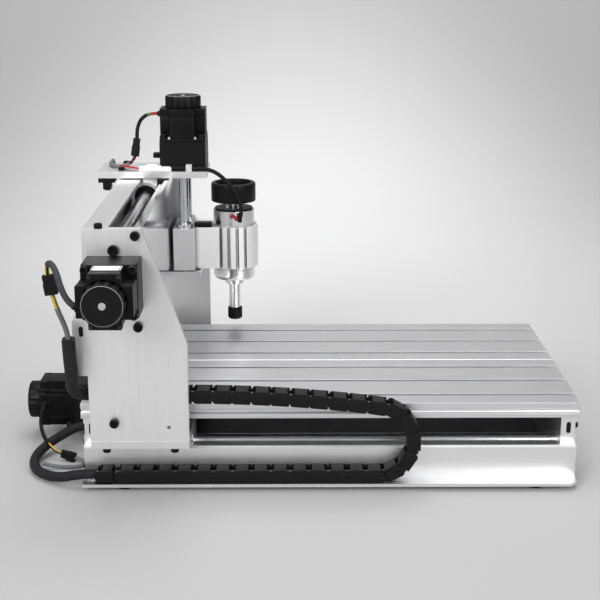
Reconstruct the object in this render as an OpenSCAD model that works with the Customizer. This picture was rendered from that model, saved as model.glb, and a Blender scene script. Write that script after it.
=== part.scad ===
// Desktop CNC router with a moving gantry, three lead screws and an air-cooled spindle.
// X runs along the gantry, Y along the bed (front is -Y), Z is up. Millimetres.

/* [Bed and base] */
// Length of the two side beams
beam_len = 534; // [440:1:660]
// Clear width between the side beams
beam_gap = 288; // [276:1:292]
// Thickness of a side beam's wall
beam_t = 12; // [9:0.5:13]
// Height of a beam's top edge over the floor
beam_top = 44.4; // [42:0.1:48]
// Width of the flange that carries the cable chain
flange_w = 21; // [21:0.5:25]
// Thickness of that flange
flange_t = 3.5; // [2.5:0.5:4]
// Chamfer on the front corner of the flange
flange_chamfer = 8; // [3:1:14]
// Thickness of the front and rear plates
end_t = 16.7; // [14:0.1:18]
// How far a front or rear plate stands out past the beam ends
end_proud = 1.5; // [0.5:0.5:4]
// Clear height under an end plate
end_z = 9; // [7:0.5:11]
// Width of the bed, two planks together
bed_w = 300; // [292:1:306]
// How far the bed reaches past the front and rear plates
bed_over = 1.5; // [0:0.5:3]
// Underside of the bed
bed_z = 74.3; // [74:0.1:82]
// Thickness of the bed
bed_t = 17; // [14:0.5:20]
// Distance between neighbouring T-slots
slot_pitch = 47.5; // [40:0.5:48]
// Opening of a T-slot
slot_w = 6; // [5:0.5:8]
// Width of a T-slot under its lips
slot_under_w = 11.5; // [10:0.5:14]
// Thickness of a T-slot's lips
slot_lip = 4; // [3:0.5:5]
// Depth of the wide part of a T-slot
slot_under_h = 4.5; // [3:0.5:5]
// Diameter of a rubber foot
foot_d = 23.5; // [18:0.5:28]
// Height of a rubber foot
foot_h = 5.5; // [4:0.5:8]
// Distance between the front and rear feet
foot_pitch = 446; // [340:1:480]
// Thickness of the sheet that closes the base
pan_t = 2; // [1:0.5:3]

/* [Shafts and screws] */
// Diameter of the Y and X guide shafts
shaft_d = 16; // [12:1:16]
// Diameter of the Z guide shafts
z_shaft_d = 12; // [10:1:12]
// Diameter of the Y and X lead screws
screw_d = 12; // [10:1:14]
// Diameter of the Z lead screw
z_screw_d = 10; // [9:1:12]
// Diameter of a lead screw's turned end and of a motor shaft
journal_d = 8; // [6:0.5:8]
// Distance between the Y shafts
y_shaft_pitch = 232; // [222:1:234]
// Height of the Y shafts
y_shaft_z = 35; // [33:0.5:36]
// Height of the Y lead screw
y_screw_z = 42.8; // [40:0.1:44]
// Outer diameter of a lead screw bearing
bearing_d = 22; // [19:1:24]
// Width of a lead screw bearing
bearing_w = 7; // [5:0.5:7]
// Radial running clearance
run_gap = 0.05; // [0.02:0.01:0.1]
// Radial clearance of a seated part
seat_gap = 0.05; // [0.02:0.01:0.2]

/* [Motors] */
// Width of a motor flange
motor_w = 56.4; // [50:0.2:58]
// Length of a motor
motor_len = 41; // [36:1:56]
// Thickness of a motor's front flange
motor_flange = 5; // [4:0.5:8]
// Size of the cut-outs in a motor's corners
motor_notch = 11.7; // [9:0.1:12]
// Length of the X and Z coupling housings
housing_len = 34; // [30:1:40]
// Length of the Y coupling housing
y_housing_len = 31; // [29:1:40]
// Bore of a coupling housing
housing_bore = 38; // [32:1:42]
// Diameter of a hand knob
knob_d = 44; // [36:1:50]
// Length of a hand knob
knob_len = 15; // [10:0.5:20]
// Number of flutes in a hand knob
knob_flutes = 14; // [8:1:20]
// Diameter of a shaft coupling
coupling_d = 22; // [19:1:28]
// Length of a shaft coupling
coupling_len = 25; // [20:1:27]

/* [Gantry] */
// Width of the gantry over its side plates
gantry_w = 376; // [372:1:400]
// Thickness of a side plate
side_t = 10; // [8:0.5:11]
// Length of a side plate at its foot
side_foot = 103.6; // [96:0.1:112]
// Length of a side plate at its top
side_top = 66; // [64.5:0.5:80]
// Bottom of the side plates
side_z = 63.4; // [62:0.1:64]
// Height where the slanted front edge begins
side_knee_z = 168.4; // [150:0.1:172]
// Top of the side plates and of the beam
beam_high = 291.5; // [291.5:0.5:292.5]
// Bottom of the beam
beam_low = 186; // [184:0.5:188]
// Thickness of the floor plate under the gantry
floor_t = 9; // [7:0.5:9]
// Distance of the gantry's rear edge from the middle of the bed, at rest
gantry_y = 253.5; // [251:0.5:254]
// Thickness of the beam's back wall
back_t = 5; // [3:0.5:6]
// Width of the beam's top lip
top_lip = 26; // [20:0.5:26]
// Thickness of the beam's lips
lip_t = 4; // [3:0.5:4]
// Thickness of the beam's front wall
front_t = 5; // [4:0.5:7]
// Depth of the brace behind the gantry
brace_d = 14; // [10:0.5:18]
// Bottom of the brace
brace_z = 136; // [132:1:145]
// Height of the brace
brace_h = 60; // [45:1:64]

/* [X carriage] */
// Width of the X carriage
carriage_w = 72; // [70:1:76]
// Middle of the X carriage at rest
carriage_x = 138; // [120:0.5:139]
// Distance of the X shafts from the gantry's rear edge
x_axis = 32; // [31:0.5:33]
// Height of the upper X shaft
x_high = 270; // [268:0.5:270]
// Height of the lower X shaft
x_low = 202; // [202:0.5:206]
// Height of the X lead screw
x_screw_z = 236; // [234:0.5:238]
// Outer diameter of an X bearing bush
bush_d = 28; // [26:0.5:29]
// Length of an X bearing bush
bush_len = 34; // [28:1:35]
// Wall around an X bearing bush
block_wall = 4; // [3:0.5:4]
// Thickness of the top plate
top_t = 8; // [6:0.5:10]
// Underside of the top plate
top_z = 293; // [293:0.5:296]
// Reach of the top plate behind the gantry's rear edge
top_back = 27.5; // [20:0.5:32]
// Reach of the top plate in front of the gantry's rear edge
top_front = 107.4; // [106:0.1:108]
// Thickness of the bottom ledge
ledge_t = 7; // [6:0.5:8]
// Underside of the bottom ledge
ledge_z = 167.5; // [165:0.5:168]
// Front edge of the bottom ledge
ledge_front = 97; // [92:0.5:100]

/* [Z slider and spindle] */
// Distance of the Z shafts from the gantry's rear edge
z_axis = 77.5; // [77:0.5:78]
// Distance between the Z shafts
z_shaft_pitch = 48; // [46:0.5:48]
// Back of the slider block
slider_back = 64; // [63:0.5:65.5]
// Front of the slider block
slider_front = 90.5; // [90:0.5:92]
// Bottom of the slider at rest
slider_z = 176; // [176:0.5:178]
// Height of the slider
slider_h = 53; // [46:0.5:56]
// Outer diameter of a Z bush
z_bush_d = 21; // [19:0.5:21]
// Height of a Z bush over the slider
z_bush_up = 5; // [2:0.5:6]
// Distance of the spindle from the gantry's rear edge
spindle_axis = 138.3; // [138:0.1:142]
// Diameter of the spindle's can
can_d = 52; // [46:0.5:52]
// Bottom of the spindle's can
can_z = 158.5; // [156:0.5:162]
// Length of the spindle's can
can_h = 91.8; // [80:0.1:96]
// Wall of the spindle's can
can_wall = 3; // [2:0.5:4]
// Outer diameter of the spindle clamp
clamp_d = 61; // [58:0.5:61]
// Diameter of the fan cap
cap_d = 56; // [50:0.5:56]
// Bottom of the fan cap
cap_z = 258.6; // [257:0.1:262]
// Height of the fan cap
cap_h = 23.8; // [18:0.1:26]
// Diameter of the collet shaft
nose_d = 14.5; // [12:0.5:16]
// Diameter of the collet nut
nut_d = 18.5; // [17:0.5:20]
// Bottom of the collet nut
nut_z = 104; // [100:0.5:108]
// Height of the collet nut
nut_h = 15.5; // [12:0.5:18]
// Bore of the collet
collet_d = 3.175; // [2:0.005:6]

/* [Cable chain] */
// Width of the chain
chain_w = 20; // [16:0.5:20]
// Height of the chain
chain_h = 15; // [12:0.5:15]
// Bend radius of the chain at its middle
chain_r = 39; // [32:0.5:42]
// Middle of the chain's bend at rest, from the gantry's rear edge
chain_bend_u = 303; // [280:0.5:320]
// Height of the chain's moving end
chain_end_z = 108; // [98:0.5:110]

/* [Hidden] */
$fn = 48;
e = 0.5; // overrun of a cut past a face

// Finishes
silver = [0.78, 0.78, 0.79];
steel = [0.62, 0.63, 0.65];
black = [0.07, 0.07, 0.08];
graphite = [0.2, 0.2, 0.21];
rubber = [0.04, 0.04, 0.04];
grey = [0.55, 0.56, 0.58];
white = [0.93, 0.93, 0.92];

// Screw heads
cap_head_d = 10;
cap_head_h = 5;
cap_shank_d = 6;
hole_gap = 0.25;

// Base
beam_in = beam_gap / 2;
beam_out = beam_in + beam_t;
end_out = beam_len / 2 + end_proud;
end_in = end_out - end_t;
bed_len = 2 * (end_out + bed_over);
floor_z = side_z - floor_t;
end_screw_len = 14;
y_screw_lead_len = end_in * 2;
shaft_seat = 8;
gland_d = 12;
gland_x = 50;
gland_z = 28;

// Motor stacks
y_stack = y_housing_len + motor_len;
x_stack = housing_len + motor_len;
motor_core = motor_w - 2 * motor_notch;
motor_screw_at = motor_w / 2 - 4.7;
motor_screw_d = 5;
coupling_gap = 3;

// Gantry
gantry_half = gantry_w / 2;
side_in = gantry_half - side_t;
wall_front = side_top - 5;
wall_back = wall_front - front_t;
boss_in = 50.8;
boss_h = 8;
floor_notch = 4;
front_screw_u = 54.3;
front_screw_high = 285;
front_screw_low = 189.2;
block_len = 36;
block_w = 50;
block_drop = 14;
block_first = 5;
nut_block_w = 40;
nut_block_len = 32;
nut_block_drop = 14;

// X carriage
block_r = bush_d / 2 + block_wall;
neck_back = 28;
neck_front = 45.5;
ledge_back = 30;
ledge_neck_front = 46;
shaft_in_ledge = 4.5;
shaft_in_top = 4;

// Width of the wire joint on the top plate
joint_w = 7;

// Spindle
slider_top = slider_z + slider_h;
clamp_neck_w = 52;
groove_w = 4;
groove_d = 2.8;
can_top = can_z + can_h;
ring_d = 25;
ring_h = 6.5;
rotor_d = 38;
inner_bearing_d = 30;
cap_wall = 6;

// Chain
chain_x = -beam_out - 0.5 - chain_w / 2;
chain_z = foot_h + flange_t + 0.3;
chain_mid_z = chain_z + chain_h / 2;
chain_fixed_u = 20;
chain_moving_u = 40;

// The origin is at the middle of the machine's box, on the floor
left_reach = gantry_half + x_stack + knob_len;
right_reach = gantry_half + cap_head_h;
rear_reach = end_out + y_stack + knob_len;
front_reach = end_out + cap_head_h;
shift_x = (left_reach - right_reach) / 2;
shift_y = (front_reach - rear_reach) / 2;

// Routes of the cords, measured from the middle of the bed with the gantry at rest
z_lead_r = 2.25;
z_lead_route = [
  [138, 204.2, 368], [138, 213, 368], [137, 222, 366], [136, 229, 360], [134, 233, 350],
  [133, 234, 338], [132, 235, 326], [131, 237, 316], [130, 242, 308.5], [129, 250, 304.5],
  [131, 259, 303.6], [138, 266, 303.6], [148, 270, 303.6], [158, 271, 303.6], [170, 271, 304],
  [177, 271, 303.2], [182, 271, 299.5], [184, 271, 293.5], [182, 271, 287.5], [177, 271, 284],
  [170, 271, 283.3], [150, 271, 283.3], [135, 271, 283.3], [120, 271, 283.3]
];
spindle_lead_r = 2.6;
spindle_lead_route = [
  [106, 189.5, 305], [106, 180, 305], [105, 171, 304.5], [105, 163, 304.5], [105, 154, 304.6],
  [105, 145, 303.2], [105, 135, 299.3], [105, 125, 291.5], [105, 116, 281.5], [105.5, 109.5, 271],
  [106, 105.5, 260], [106, 104.5, 250], [107.5, 105.5, 243], [109.5, 106.5, 239]
];
x_lead_r = 3;
x_lead_route = [
  [-256, 249.7, 230], [-256.5, 255, 233.5], [-257, 260, 241], [-256, 264, 251],
  [-252, 267.5, 261], [-245, 272.5, 268], [-236, 277.5, 268], [-229, 281, 262.5],
  [-226, 281.5, 254], [-225, 280.5, 244], [-224.5, 278.5, 234], [-223.5, 276, 224],
  [-222, 273, 213], [-219, 270, 203], [-216, 268, 193.5], [-213, 267, 184]
];
gantry_loom_r = 7;
gantry_loom_route = [
  [-213, 267, 184], [-211, 267, 171], [-208.5, 267, 158], [-205, 267, 145.5],
  [-199.5, 267.5, 133.5], [-191.5, 268, 123.5], [-182, 266, 116], [-173, 260.5, 111.2],
  [-167.8, 250.5, 108.9], [-166.8, 238, 108], [-166.8, 225, 108], [-166.8, 213.5, 108]
];
base_loom_r = 5.5;
base_loom_route = [
  [-166, 253.5, 17], [-166, 263, 17], [-164, 277, 14.5], [-158, 292, 10], [-149, 307, 7.5],
  [-136, 320, 6.2], [-120, 329, 6.2], [-101, 333, 6.5], [-84, 331, 8.5], [-70, 323, 13],
  [-60, 310, 19], [-53, 296, 25], [-50, 282, 28], [-50, 271, 28], [-50, 262, 28]
];
y_lead_r = 2.25;
y_lead_route = [
  [-28.2, 333, 46], [-36, 333, 46], [-45, 334, 41.5], [-54, 334, 33], [-65, 330, 24],
  [-75, 323, 17], [-83, 314, 11], [-87, 305, 8], [-90, 297, 6], [-92.2, 289, 4.6],
  [-93.4, 284, 3.8], [-96.5, 279, 3.2], [-103, 276, 2.8], [-109.5, 279, 2.8], [-112.6, 284.5, 2.8],
  [-113.4, 290, 2.8], [-113.5, 300, 3], [-113, 310, 4], [-112, 322, 6.5]
];

// ---------- Helpers ----------

module place() {
  translate([shift_x, shift_y, 0]) children();
}

// y = 0 at the rear edge of the side plates, and forward is -y
module on_gantry() {
  place() translate([0, gantry_y, 0]) children();
}

module on_carriage() {
  on_gantry() translate([carriage_x, 0, 0]) children();
}

// A box given by its low and high corners
module box(low, high) {
  translate(low) cube(high - low);
}

// A box with its middle on the Z axis and its four upright edges rounded
module rounded_bar(w, d, h, r) {
  translate([-w / 2 + r, -d / 2, 0]) cube([w - 2 * r, d, h]);
  translate([-w / 2, -d / 2 + r, 0]) cube([w, d - 2 * r, h]);
  for (sx = [-1, 1], sy = [-1, 1]) {
    translate([sx * (w / 2 - r), sy * (d / 2 - r), 0]) cylinder(r = r, h = h, $fn = 32);
  }
}

module ring(outer_d, inner_d, h) {
  difference() {
    cylinder(d = outer_d, h = h);
    translate([0, 0, -e]) cylinder(d = inner_d, h = h + 2 * e);
  }
}

module along_x() {
  rotate([0, 90, 0]) children();
}

module along_y() {
  rotate([-90, 0, 0]) children();
}

// An outline in the Y-Z plane, run along X between two values
module profile_x(x0, x1) {
  translate([x0, 0, 0]) rotate([90, 0, 90]) linear_extrude(height = x1 - x0) children();
}

// An outline in the X-Z plane, run along Y between two values
module profile_y(y0, y1) {
  translate([0, y1, 0]) rotate([90, 0, 0]) linear_extrude(height = y1 - y0) children();
}

// A socket cap screw, its head's underside at the origin and its shank down -Z
module cap_screw(head, shank, len) {
  difference() {
    union() {
      cylinder(d = head, h = cap_head_h);
      translate([0, 0, -len]) cylinder(d = shank, h = len + e);
    }
    translate([0, 0, cap_head_h / 2]) cylinder(d = head * 0.55, h = cap_head_h, $fn = 6);
  }
}

function unit(v) = v / norm(v);
function tangent(p, i) = unit(p[min(i + 1, len(p) - 1)] - p[max(i - 1, 0)]);
function square_to(n, t) = unit(n - (n * t) * t);
function carried(p, i) = i == 0
  ? square_to(abs(tangent(p, 0)[2]) < 0.8 ? [0, 0, 1] : [1, 0, 0], tangent(p, 0))
  : square_to(carried(p, i - 1), tangent(p, i));
function tube_ring(p, i, r, n) = let (t = tangent(p, i), a = carried(p, i), b = cross(t, a))
  [for (k = [0 : n - 1]) p[i] + r * (cos(360 * k / n) * a + sin(360 * k / n) * b)];

// A round cord of radius r swept along a route
module cord_tube(route, r, sides = 8) {
  last = len(route) - 1;
  points = [for (i = [0 : last]) each tube_ring(route, i, r, sides)];
  walls = [for (i = [0 : last - 1], k = [0 : sides - 1]) let (m = (k + 1) % sides)
    each [
      [i * sides + k, (i + 1) * sides + k, (i + 1) * sides + m],
      [i * sides + k, (i + 1) * sides + m, i * sides + m]
    ]];
  start_cap = [for (k = [0 : sides - 1]) k];
  end_cap = [for (k = [0 : sides - 1]) last * sides + sides - 1 - k];
  polyhedron(points = points, faces = concat(walls, [start_cap], [end_cap]), convexity = 10);
}

// ---------- Base ----------

module beam_outline() {
  shoulder = 2;
  difference() {
    polygon([
      [beam_in, foot_h], [beam_out + flange_w, foot_h], [beam_out + flange_w, foot_h + flange_t],
      [beam_out, foot_h + flange_t], [beam_out, beam_top - shoulder],
      [beam_out - shoulder, beam_top], [beam_in, beam_top]
    ]);
    beam_hollows();
  }
}

// Two closed channels run the length of the extrusion
module beam_hollows() {
  wall = 2.5;
  web_z = (foot_h + beam_top) / 2;
  for (z = [[foot_h + wall + 1, web_z - wall / 2], [web_z + wall / 2, beam_top - wall - 1]]) {
    translate([beam_in + wall, z[0]]) square([beam_t - 2 * wall, z[1] - z[0]]);
  }
}

// The right-hand beam; the left one is its mirror image
module side_beam() {
  corner = flange_chamfer;
  difference() {
    profile_y(-beam_len / 2, beam_len / 2) beam_outline();
    translate([beam_out + flange_w, -beam_len / 2, 0]) rotate([0, 0, 45])
      cube([corner * sqrt(2), corner * sqrt(2), 4 * foot_h], center = true);
    translate([foot_x(), foot_pitch / 2, 0]) foot_hole();
    translate([foot_x(), -foot_pitch / 2, 0]) foot_hole();
  }
}

function foot_x() = beam_out + 2;

module foot_hole() {
  cylinder(d = 4, h = foot_h + flange_t / 2);
}

module left_beam() {
  color(silver) place() mirror([1, 0, 0]) side_beam();
}

module right_beam() {
  color(silver) place() side_beam();
}

module feet() {
  color(rubber) place() for (sx = [-1, 1], sy = [-1, 1]) {
    translate([sx * foot_x(), sy * foot_pitch / 2, 0]) difference() {
      union() {
        cylinder(d1 = foot_d - 2, d2 = foot_d, h = 1, $fn = 64);
        translate([0, 0, 1]) cylinder(d = foot_d, h = foot_h - 1);
      }
      translate([0, 0, -e]) cylinder(d = foot_d * 0.4, h = e + 2);
    }
  }
}

// The plate at the front, its outer face at -Y
module end_plate_body() {
  slot_h = 13;
  slot_t = 5;
  groove = 1.2;
  difference() {
    box([-beam_in, -end_out, end_z], [beam_in, -end_in, bed_z]);
    // shallow band along the outer face
    box([-beam_in - e, -end_out - e, bed_z - 22], [beam_in + e, -end_out + groove, bed_z - 8]);
    // channels that open at both ends
    for (sx = [-1, 1]) {
      translate([sx * beam_in - 20, -end_out + end_t / 2, bed_z - 14]) along_x()
        rounded_bar(slot_h, slot_t, 40, slot_t / 2 - 0.1);
    }
    // seats of the guide shafts, with their screws
    for (sx = [-1, 1]) translate([sx * y_shaft_pitch / 2, 0, y_shaft_z]) {
      translate([0, -end_in - shaft_seat, 0]) along_y()
        cylinder(d = shaft_d + 2 * seat_gap, h = shaft_seat + e);
      translate([0, -end_out - e, 0]) along_y()
        cylinder(d = cap_shank_d + 2 * hole_gap, h = end_t + 2 * e);
    }
    // seat of the lead screw's bearing
    translate([0, -end_in - bearing_w, y_screw_z]) along_y()
      cylinder(d = bearing_d + 2 * seat_gap, h = bearing_w + e);
  }
}

module front_plate() {
  color(silver) place() end_plate_body();
}

module rear_plate() {
  color(silver) place() difference() {
    mirror([0, 1, 0]) end_plate_body();
    // the lead screw and its motor's screws
    translate([0, end_in, y_screw_z]) along_y() cylinder(d = journal_d + 4, h = end_t + e);
    for (sx = [-1, 1], sz = [-1, 1]) {
      translate([sx * motor_screw_at, end_out - 10, y_screw_z + sz * motor_screw_at]) along_y()
        cylinder(d = motor_screw_d, h = 10 + e);
    }
    // gland of the loom
    translate([-gland_x, end_in - e, gland_z]) along_y() cylinder(d = gland_d, h = end_t + 2 * e);
  }
}

module plank_outline(side) {
  lip_notch = 3;
  difference() {
    translate([side > 0 ? 0.05 : -bed_w / 2, bed_z]) square([bed_w / 2 - 0.05, bed_t]);
    for (k = [0 : 2]) {
      x = side * (bed_w / 4 + (k - 1) * slot_pitch);
      translate([x - slot_w / 2, bed_z + bed_t - slot_lip - e]) square([slot_w, slot_lip + 2 * e]);
      translate([x - slot_under_w / 2, bed_z + bed_t - slot_lip - slot_under_h])
        square([slot_under_w, slot_under_h]);
    }
    // groove along the outer edge
    translate([side * bed_w / 2, bed_z + bed_t * 0.46]) circle(r = lip_notch, $fn = 32);
    // joint between the planks
    translate([0, bed_z + bed_t]) rotate(45) square(1.2, center = true);
  }
}

module table_planks() {
  color(silver) place() for (side = [-1, 1]) {
    profile_y(-bed_len / 2, bed_len / 2) plank_outline(side);
  }
}

module base_pan() {
  gap = 0.3;
  color(black) place() difference() {
    box([-beam_in + gap, -end_in + gap, end_z], [beam_in - gap, end_in - gap, end_z + pan_t]);
    for (sx = [-1, 1], y = [-end_in + 12, 0, end_in - 12]) {
      translate([sx * (beam_in - 10), y, 0]) cylinder(d = 4, h = 2 * end_z);
    }
  }
}

module y_shafts() {
  half = end_in + shaft_seat - seat_gap;
  color(steel) place() for (sx = [-1, 1]) {
    translate([sx * y_shaft_pitch / 2, -half, y_shaft_z]) along_y() difference() {
      cylinder(d = shaft_d, h = 2 * half);
      translate([0, 0, -e]) cylinder(d = cap_shank_d + 2 * hole_gap, h = end_screw_len + e);
      translate([0, 0, 2 * half - end_screw_len])
        cylinder(d = cap_shank_d + 2 * hole_gap, h = end_screw_len + e);
    }
  }
}

module y_screw_bearings() {
  color(steel) place() for (y = [-end_in - bearing_w, end_in]) {
    translate([0, y, y_screw_z]) along_y() ring(bearing_d, journal_d + 2 * run_gap, bearing_w);
  }
}

module base_screws() {
  color(black) place() for (sx = [-1, 1], sy = [-1, 1]) {
    translate([sx * y_shaft_pitch / 2, sy * end_out, y_shaft_z]) rotate([-90 * sy, 0, 0])
      cap_screw(cap_head_d, cap_shank_d, end_t);
  }
}

// A coupling housing, from z = 0 up
module housing(len) {
  difference() {
    rounded_bar(motor_w, motor_w, len, 2);
    translate([0, 0, -e]) cylinder(d = housing_bore, h = len + 2 * e);
    for (sx = [-1, 1], sy = [-1, 1]) {
      translate([sx * motor_screw_at, sy * motor_screw_at, -e])
        cylinder(d = motor_screw_d, h = len + 2 * e);
    }
  }
}

// A stepper motor with a hollow for its shaft, its flange at z = 0
module motor() {
  cap = 9;
  rib = 0.8;
  notch = motor_notch;
  difference() {
    union() {
      rounded_bar(motor_w, motor_w, motor_flange, 4);
      motor_core_body(motor_flange, motor_len - cap, notch + rib);
      motor_core_body(motor_len - cap, motor_len, notch);
    }
    translate([0, 0, -e]) cylinder(d = journal_d + 2 * run_gap, h = motor_len + 2 * e);
    for (sx = [-1, 1], sy = [-1, 1]) {
      translate([sx * motor_screw_at, sy * motor_screw_at, -e])
        cylinder(d = motor_screw_d, h = motor_flange + 2 * e);
    }
  }
}

// The cross-shaped part of a motor between two heights
module motor_core_body(z0, z1, notch) {
  half = motor_w / 2 - 0.2;
  arm = half - notch;
  translate([0, 0, z0 - 0.01]) linear_extrude(height = z1 - z0 + 0.01) polygon([
    [-arm, -half], [arm, -half], [arm + 2, -arm - 2], [half, -arm], [half, arm], [arm + 2, arm + 2],
    [arm, half], [-arm, half], [-arm - 2, arm + 2], [-half, arm], [-half, -arm],
    [-arm - 2, -arm - 2]
  ]);
}

// A fluted hand knob that seats on a motor shaft
module knob() {
  rim = 1.8;
  flute_r = 2.2;
  difference() {
    union() {
      cylinder(d = knob_d, h = knob_len - rim);
      translate([0, 0, knob_len - rim]) cylinder(d1 = knob_d, d2 = knob_d - 2 * rim, h = rim);
    }
    for (k = [0 : knob_flutes - 1]) rotate(360 * k / knob_flutes)
      translate([knob_d / 2 + flute_r * 0.5, 0, -e]) cylinder(r = flute_r, h = knob_len + 2 * e);
    translate([0, 0, -e]) cylinder(d = journal_d + 2 * seat_gap, h = knob_len + 2 * e);
  }
}

// A lead screw with its journals, coupling and motor shaft, from z = 0 at its free journal
module drive_screw(thread_d, journal_low, thread_len, journal_high, shaft_len, neck_len) {
  r = journal_d / 2;
  z1 = journal_low;
  z2 = z1 + thread_len;
  z3 = z2 + journal_high;
  z4 = z3 + coupling_len;
  rotate_extrude() polygon([
    [0, 0], [r, 0], [r, z1], [thread_d / 2, z1], [thread_d / 2, z2], [r, z2], [r, z3],
    [coupling_d / 2, z3], [coupling_d / 2, z4], [r, z4], [r, z4 + shaft_len + neck_len],
    [0, z4 + shaft_len + neck_len]
  ]);
}

module y_housing() {
  color(graphite) place() translate([0, end_out, y_screw_z]) along_y() housing(y_housing_len);
}

module y_motor() {
  color(black) place() translate([0, end_out + y_housing_len, y_screw_z]) along_y() motor();
}

module y_screw() {
  low = bearing_w - 0.5;
  thread = 2 * end_in - 2 * run_gap;
  to_coupling = end_t + coupling_gap + run_gap;
  start = -end_in + run_gap - low;
  used = start + low + thread + to_coupling + coupling_len;
  color(steel) place() translate([0, start, y_screw_z]) along_y()
    drive_screw(screw_d, low, thread, to_coupling, rear_reach - used, 0);
}

module y_knob() {
  color(black) place() translate([0, end_out + y_stack + run_gap, y_screw_z]) along_y()
    knob_on_shaft();
}

// The knob stands a hair clear of its motor
module knob_on_shaft() {
  intersection() {
    knob();
    cylinder(d = knob_d + 2, h = knob_len - run_gap);
  }
}

// ---------- Cable chain ----------

module chain_anchor() {
  color(black) place() translate([chain_x, gantry_y, foot_h + flange_t]) difference() {
    translate([-chain_w / 2, -chain_fixed_u + 0.3, 0])
      cube([chain_w, chain_fixed_u - 0.3, chain_h + 2]);
    translate([0, -chain_fixed_u - e, chain_h / 2]) along_y()
      cylinder(d = 2 * base_loom_r + 1, h = chain_fixed_u / 2);
  }
}

module chain_lower() {
  color(black) on_gantry() difference() {
    box([chain_x - chain_w / 2, -chain_bend_u + 0.2, chain_z],
      [chain_x + chain_w / 2, -chain_fixed_u - 0.1, chain_z + chain_h]);
    chain_gaps(chain_fixed_u + 20, chain_bend_u - 6, chain_z + chain_h);
  }
}

// Shallow notches between links, cut into a run's top
module chain_gaps(u0, u1, z) {
  link = 20;
  for (u = [u0 : link : u1]) {
    box([chain_x - chain_w, -u - 1, z - 1.5], [chain_x + chain_w, -u + 1, z + e]);
  }
}

module chain_bend() {
  r0 = chain_r - chain_h / 2;
  r1 = chain_r + chain_h / 2;
  color(black) on_gantry()
    translate([chain_x - chain_w / 2, -chain_bend_u, chain_mid_z + chain_r]) along_x() difference() {
      cylinder(r = r1, h = chain_w, $fn = 96);
      translate([0, 0, -e]) cylinder(r = r0, h = chain_w + 2 * e, $fn = 96);
      translate([-2 * r1, 0, -e]) cube([4 * r1, 2 * r1, chain_w + 2 * e]);
    }
}

module chain_upper() {
  top = chain_mid_z + 2 * chain_r;
  half = chain_h / 2;
  level = chain_moving_u + 60;
  color(black) on_gantry() profile_x(chain_x - chain_w / 2, chain_x + chain_w / 2) polygon([
    [-chain_moving_u, chain_end_z - half], [-chain_moving_u, chain_end_z + half],
    [-level, chain_end_z + half], [-chain_bend_u + 0.2, top + half],
    [-chain_bend_u + 0.2, top - half], [-level, chain_end_z - half]
  ]);
}

// ---------- Gantry ----------

// Centres of the screws through a side plate: distance from the rear edge, height, head size
function side_screws() = [
  [x_axis, x_high, 11.5], [x_axis, x_low, 11.5], [front_screw_u, front_screw_high, 10],
  [front_screw_u, front_screw_low, 10], [25.7, 84.1, 10]
];

module side_plate_outline() {
  difference() {
    polygon([
      [0, side_z], [0, beam_high], [-side_top + 6, beam_high], [-side_foot, side_knee_z],
      [-side_foot, side_z]
    ]);
    for (s = side_screws()) {
      translate([-s[0], s[1]]) circle(d = cap_shank_d + 2 * hole_gap);
    }
    translate([-82.5, 78.9]) circle(d = 4);
  }
}

// The right-hand plate; the left one is its mirror image
module side_plate() {
  difference() {
    profile_x(side_in, gantry_half) side_plate_outline();
    translate([side_in - e, -x_axis, x_screw_z]) along_x()
      cylinder(d = bearing_d + 2 * seat_gap, h = bearing_w + e);
    translate([side_in, -x_axis, x_screw_z]) along_x()
      cylinder(d = journal_d + 4, h = side_t + e);
    // screws that hold the beam and the floor
    translate([gantry_half - side_t / 2, -16.6, beam_high - 14]) cylinder(d = 5.5, h = 14 + e);
    for (u = [15.7, 87.7]) {
      translate([gantry_half - side_t / 2, -u, side_z - e]) cylinder(d = 5.5, h = 14 + e);
    }
  }
}

module left_side_plate() {
  color(silver) on_gantry() mirror([1, 0, 0]) side_plate();
}

module right_side_plate() {
  color(silver) on_gantry() side_plate();
}

module gantry_floor() {
  color(silver) on_gantry() difference() {
    box([-gantry_half, -side_foot, floor_z], [gantry_half, 0, side_z]);
    // recess behind which the rear plate stands
    box([-beam_in - 2, -floor_notch, floor_z - e], [beam_in + 2, e, side_z + e]);
    for (sx = [-1, 1], u = [15.7, 87.7]) {
      translate([sx * (gantry_half - side_t / 2), -u, floor_z - e]) cylinder(d = 5.5, h = 2 * floor_t);
    }
  }
}

module y_bearing_blocks() {
  color(silver) on_gantry() for (sx = [-1, 1], u = [block_first, side_foot - block_len]) {
    difference() {
      translate([sx * y_shaft_pitch / 2, 0, 0])
        box([-block_w / 2, -u - block_len, y_shaft_z - block_drop], [block_w / 2, -u, floor_z]);
      translate([sx * y_shaft_pitch / 2, -u - block_len - e, y_shaft_z]) along_y()
        cylinder(d = shaft_d + 2 * run_gap, h = block_len + 2 * e);
    }
  }
}

module y_nut_block() {
  u0 = (side_foot - nut_block_len) / 2;
  color("goldenrod") on_gantry() difference() {
    box([-nut_block_w / 2, -u0 - nut_block_len, y_screw_z - nut_block_drop],
      [nut_block_w / 2, -u0, floor_z]);
    translate([0, -u0 - nut_block_len - e, y_screw_z]) along_y()
      cylinder(d = screw_d + 2 * run_gap, h = nut_block_len + 2 * e);
  }
}

module beam_back() {
  color(silver) on_gantry() difference() {
    profile_x(-side_in, side_in) polygon([
      [0, beam_low], [0, beam_high], [-top_lip, beam_high], [-top_lip, beam_high - lip_t],
      [-back_t, beam_high - lip_t], [-back_t, beam_low + lip_t], [-12, beam_low + lip_t],
      [-12, beam_low]
    ]);
  }
}

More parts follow.
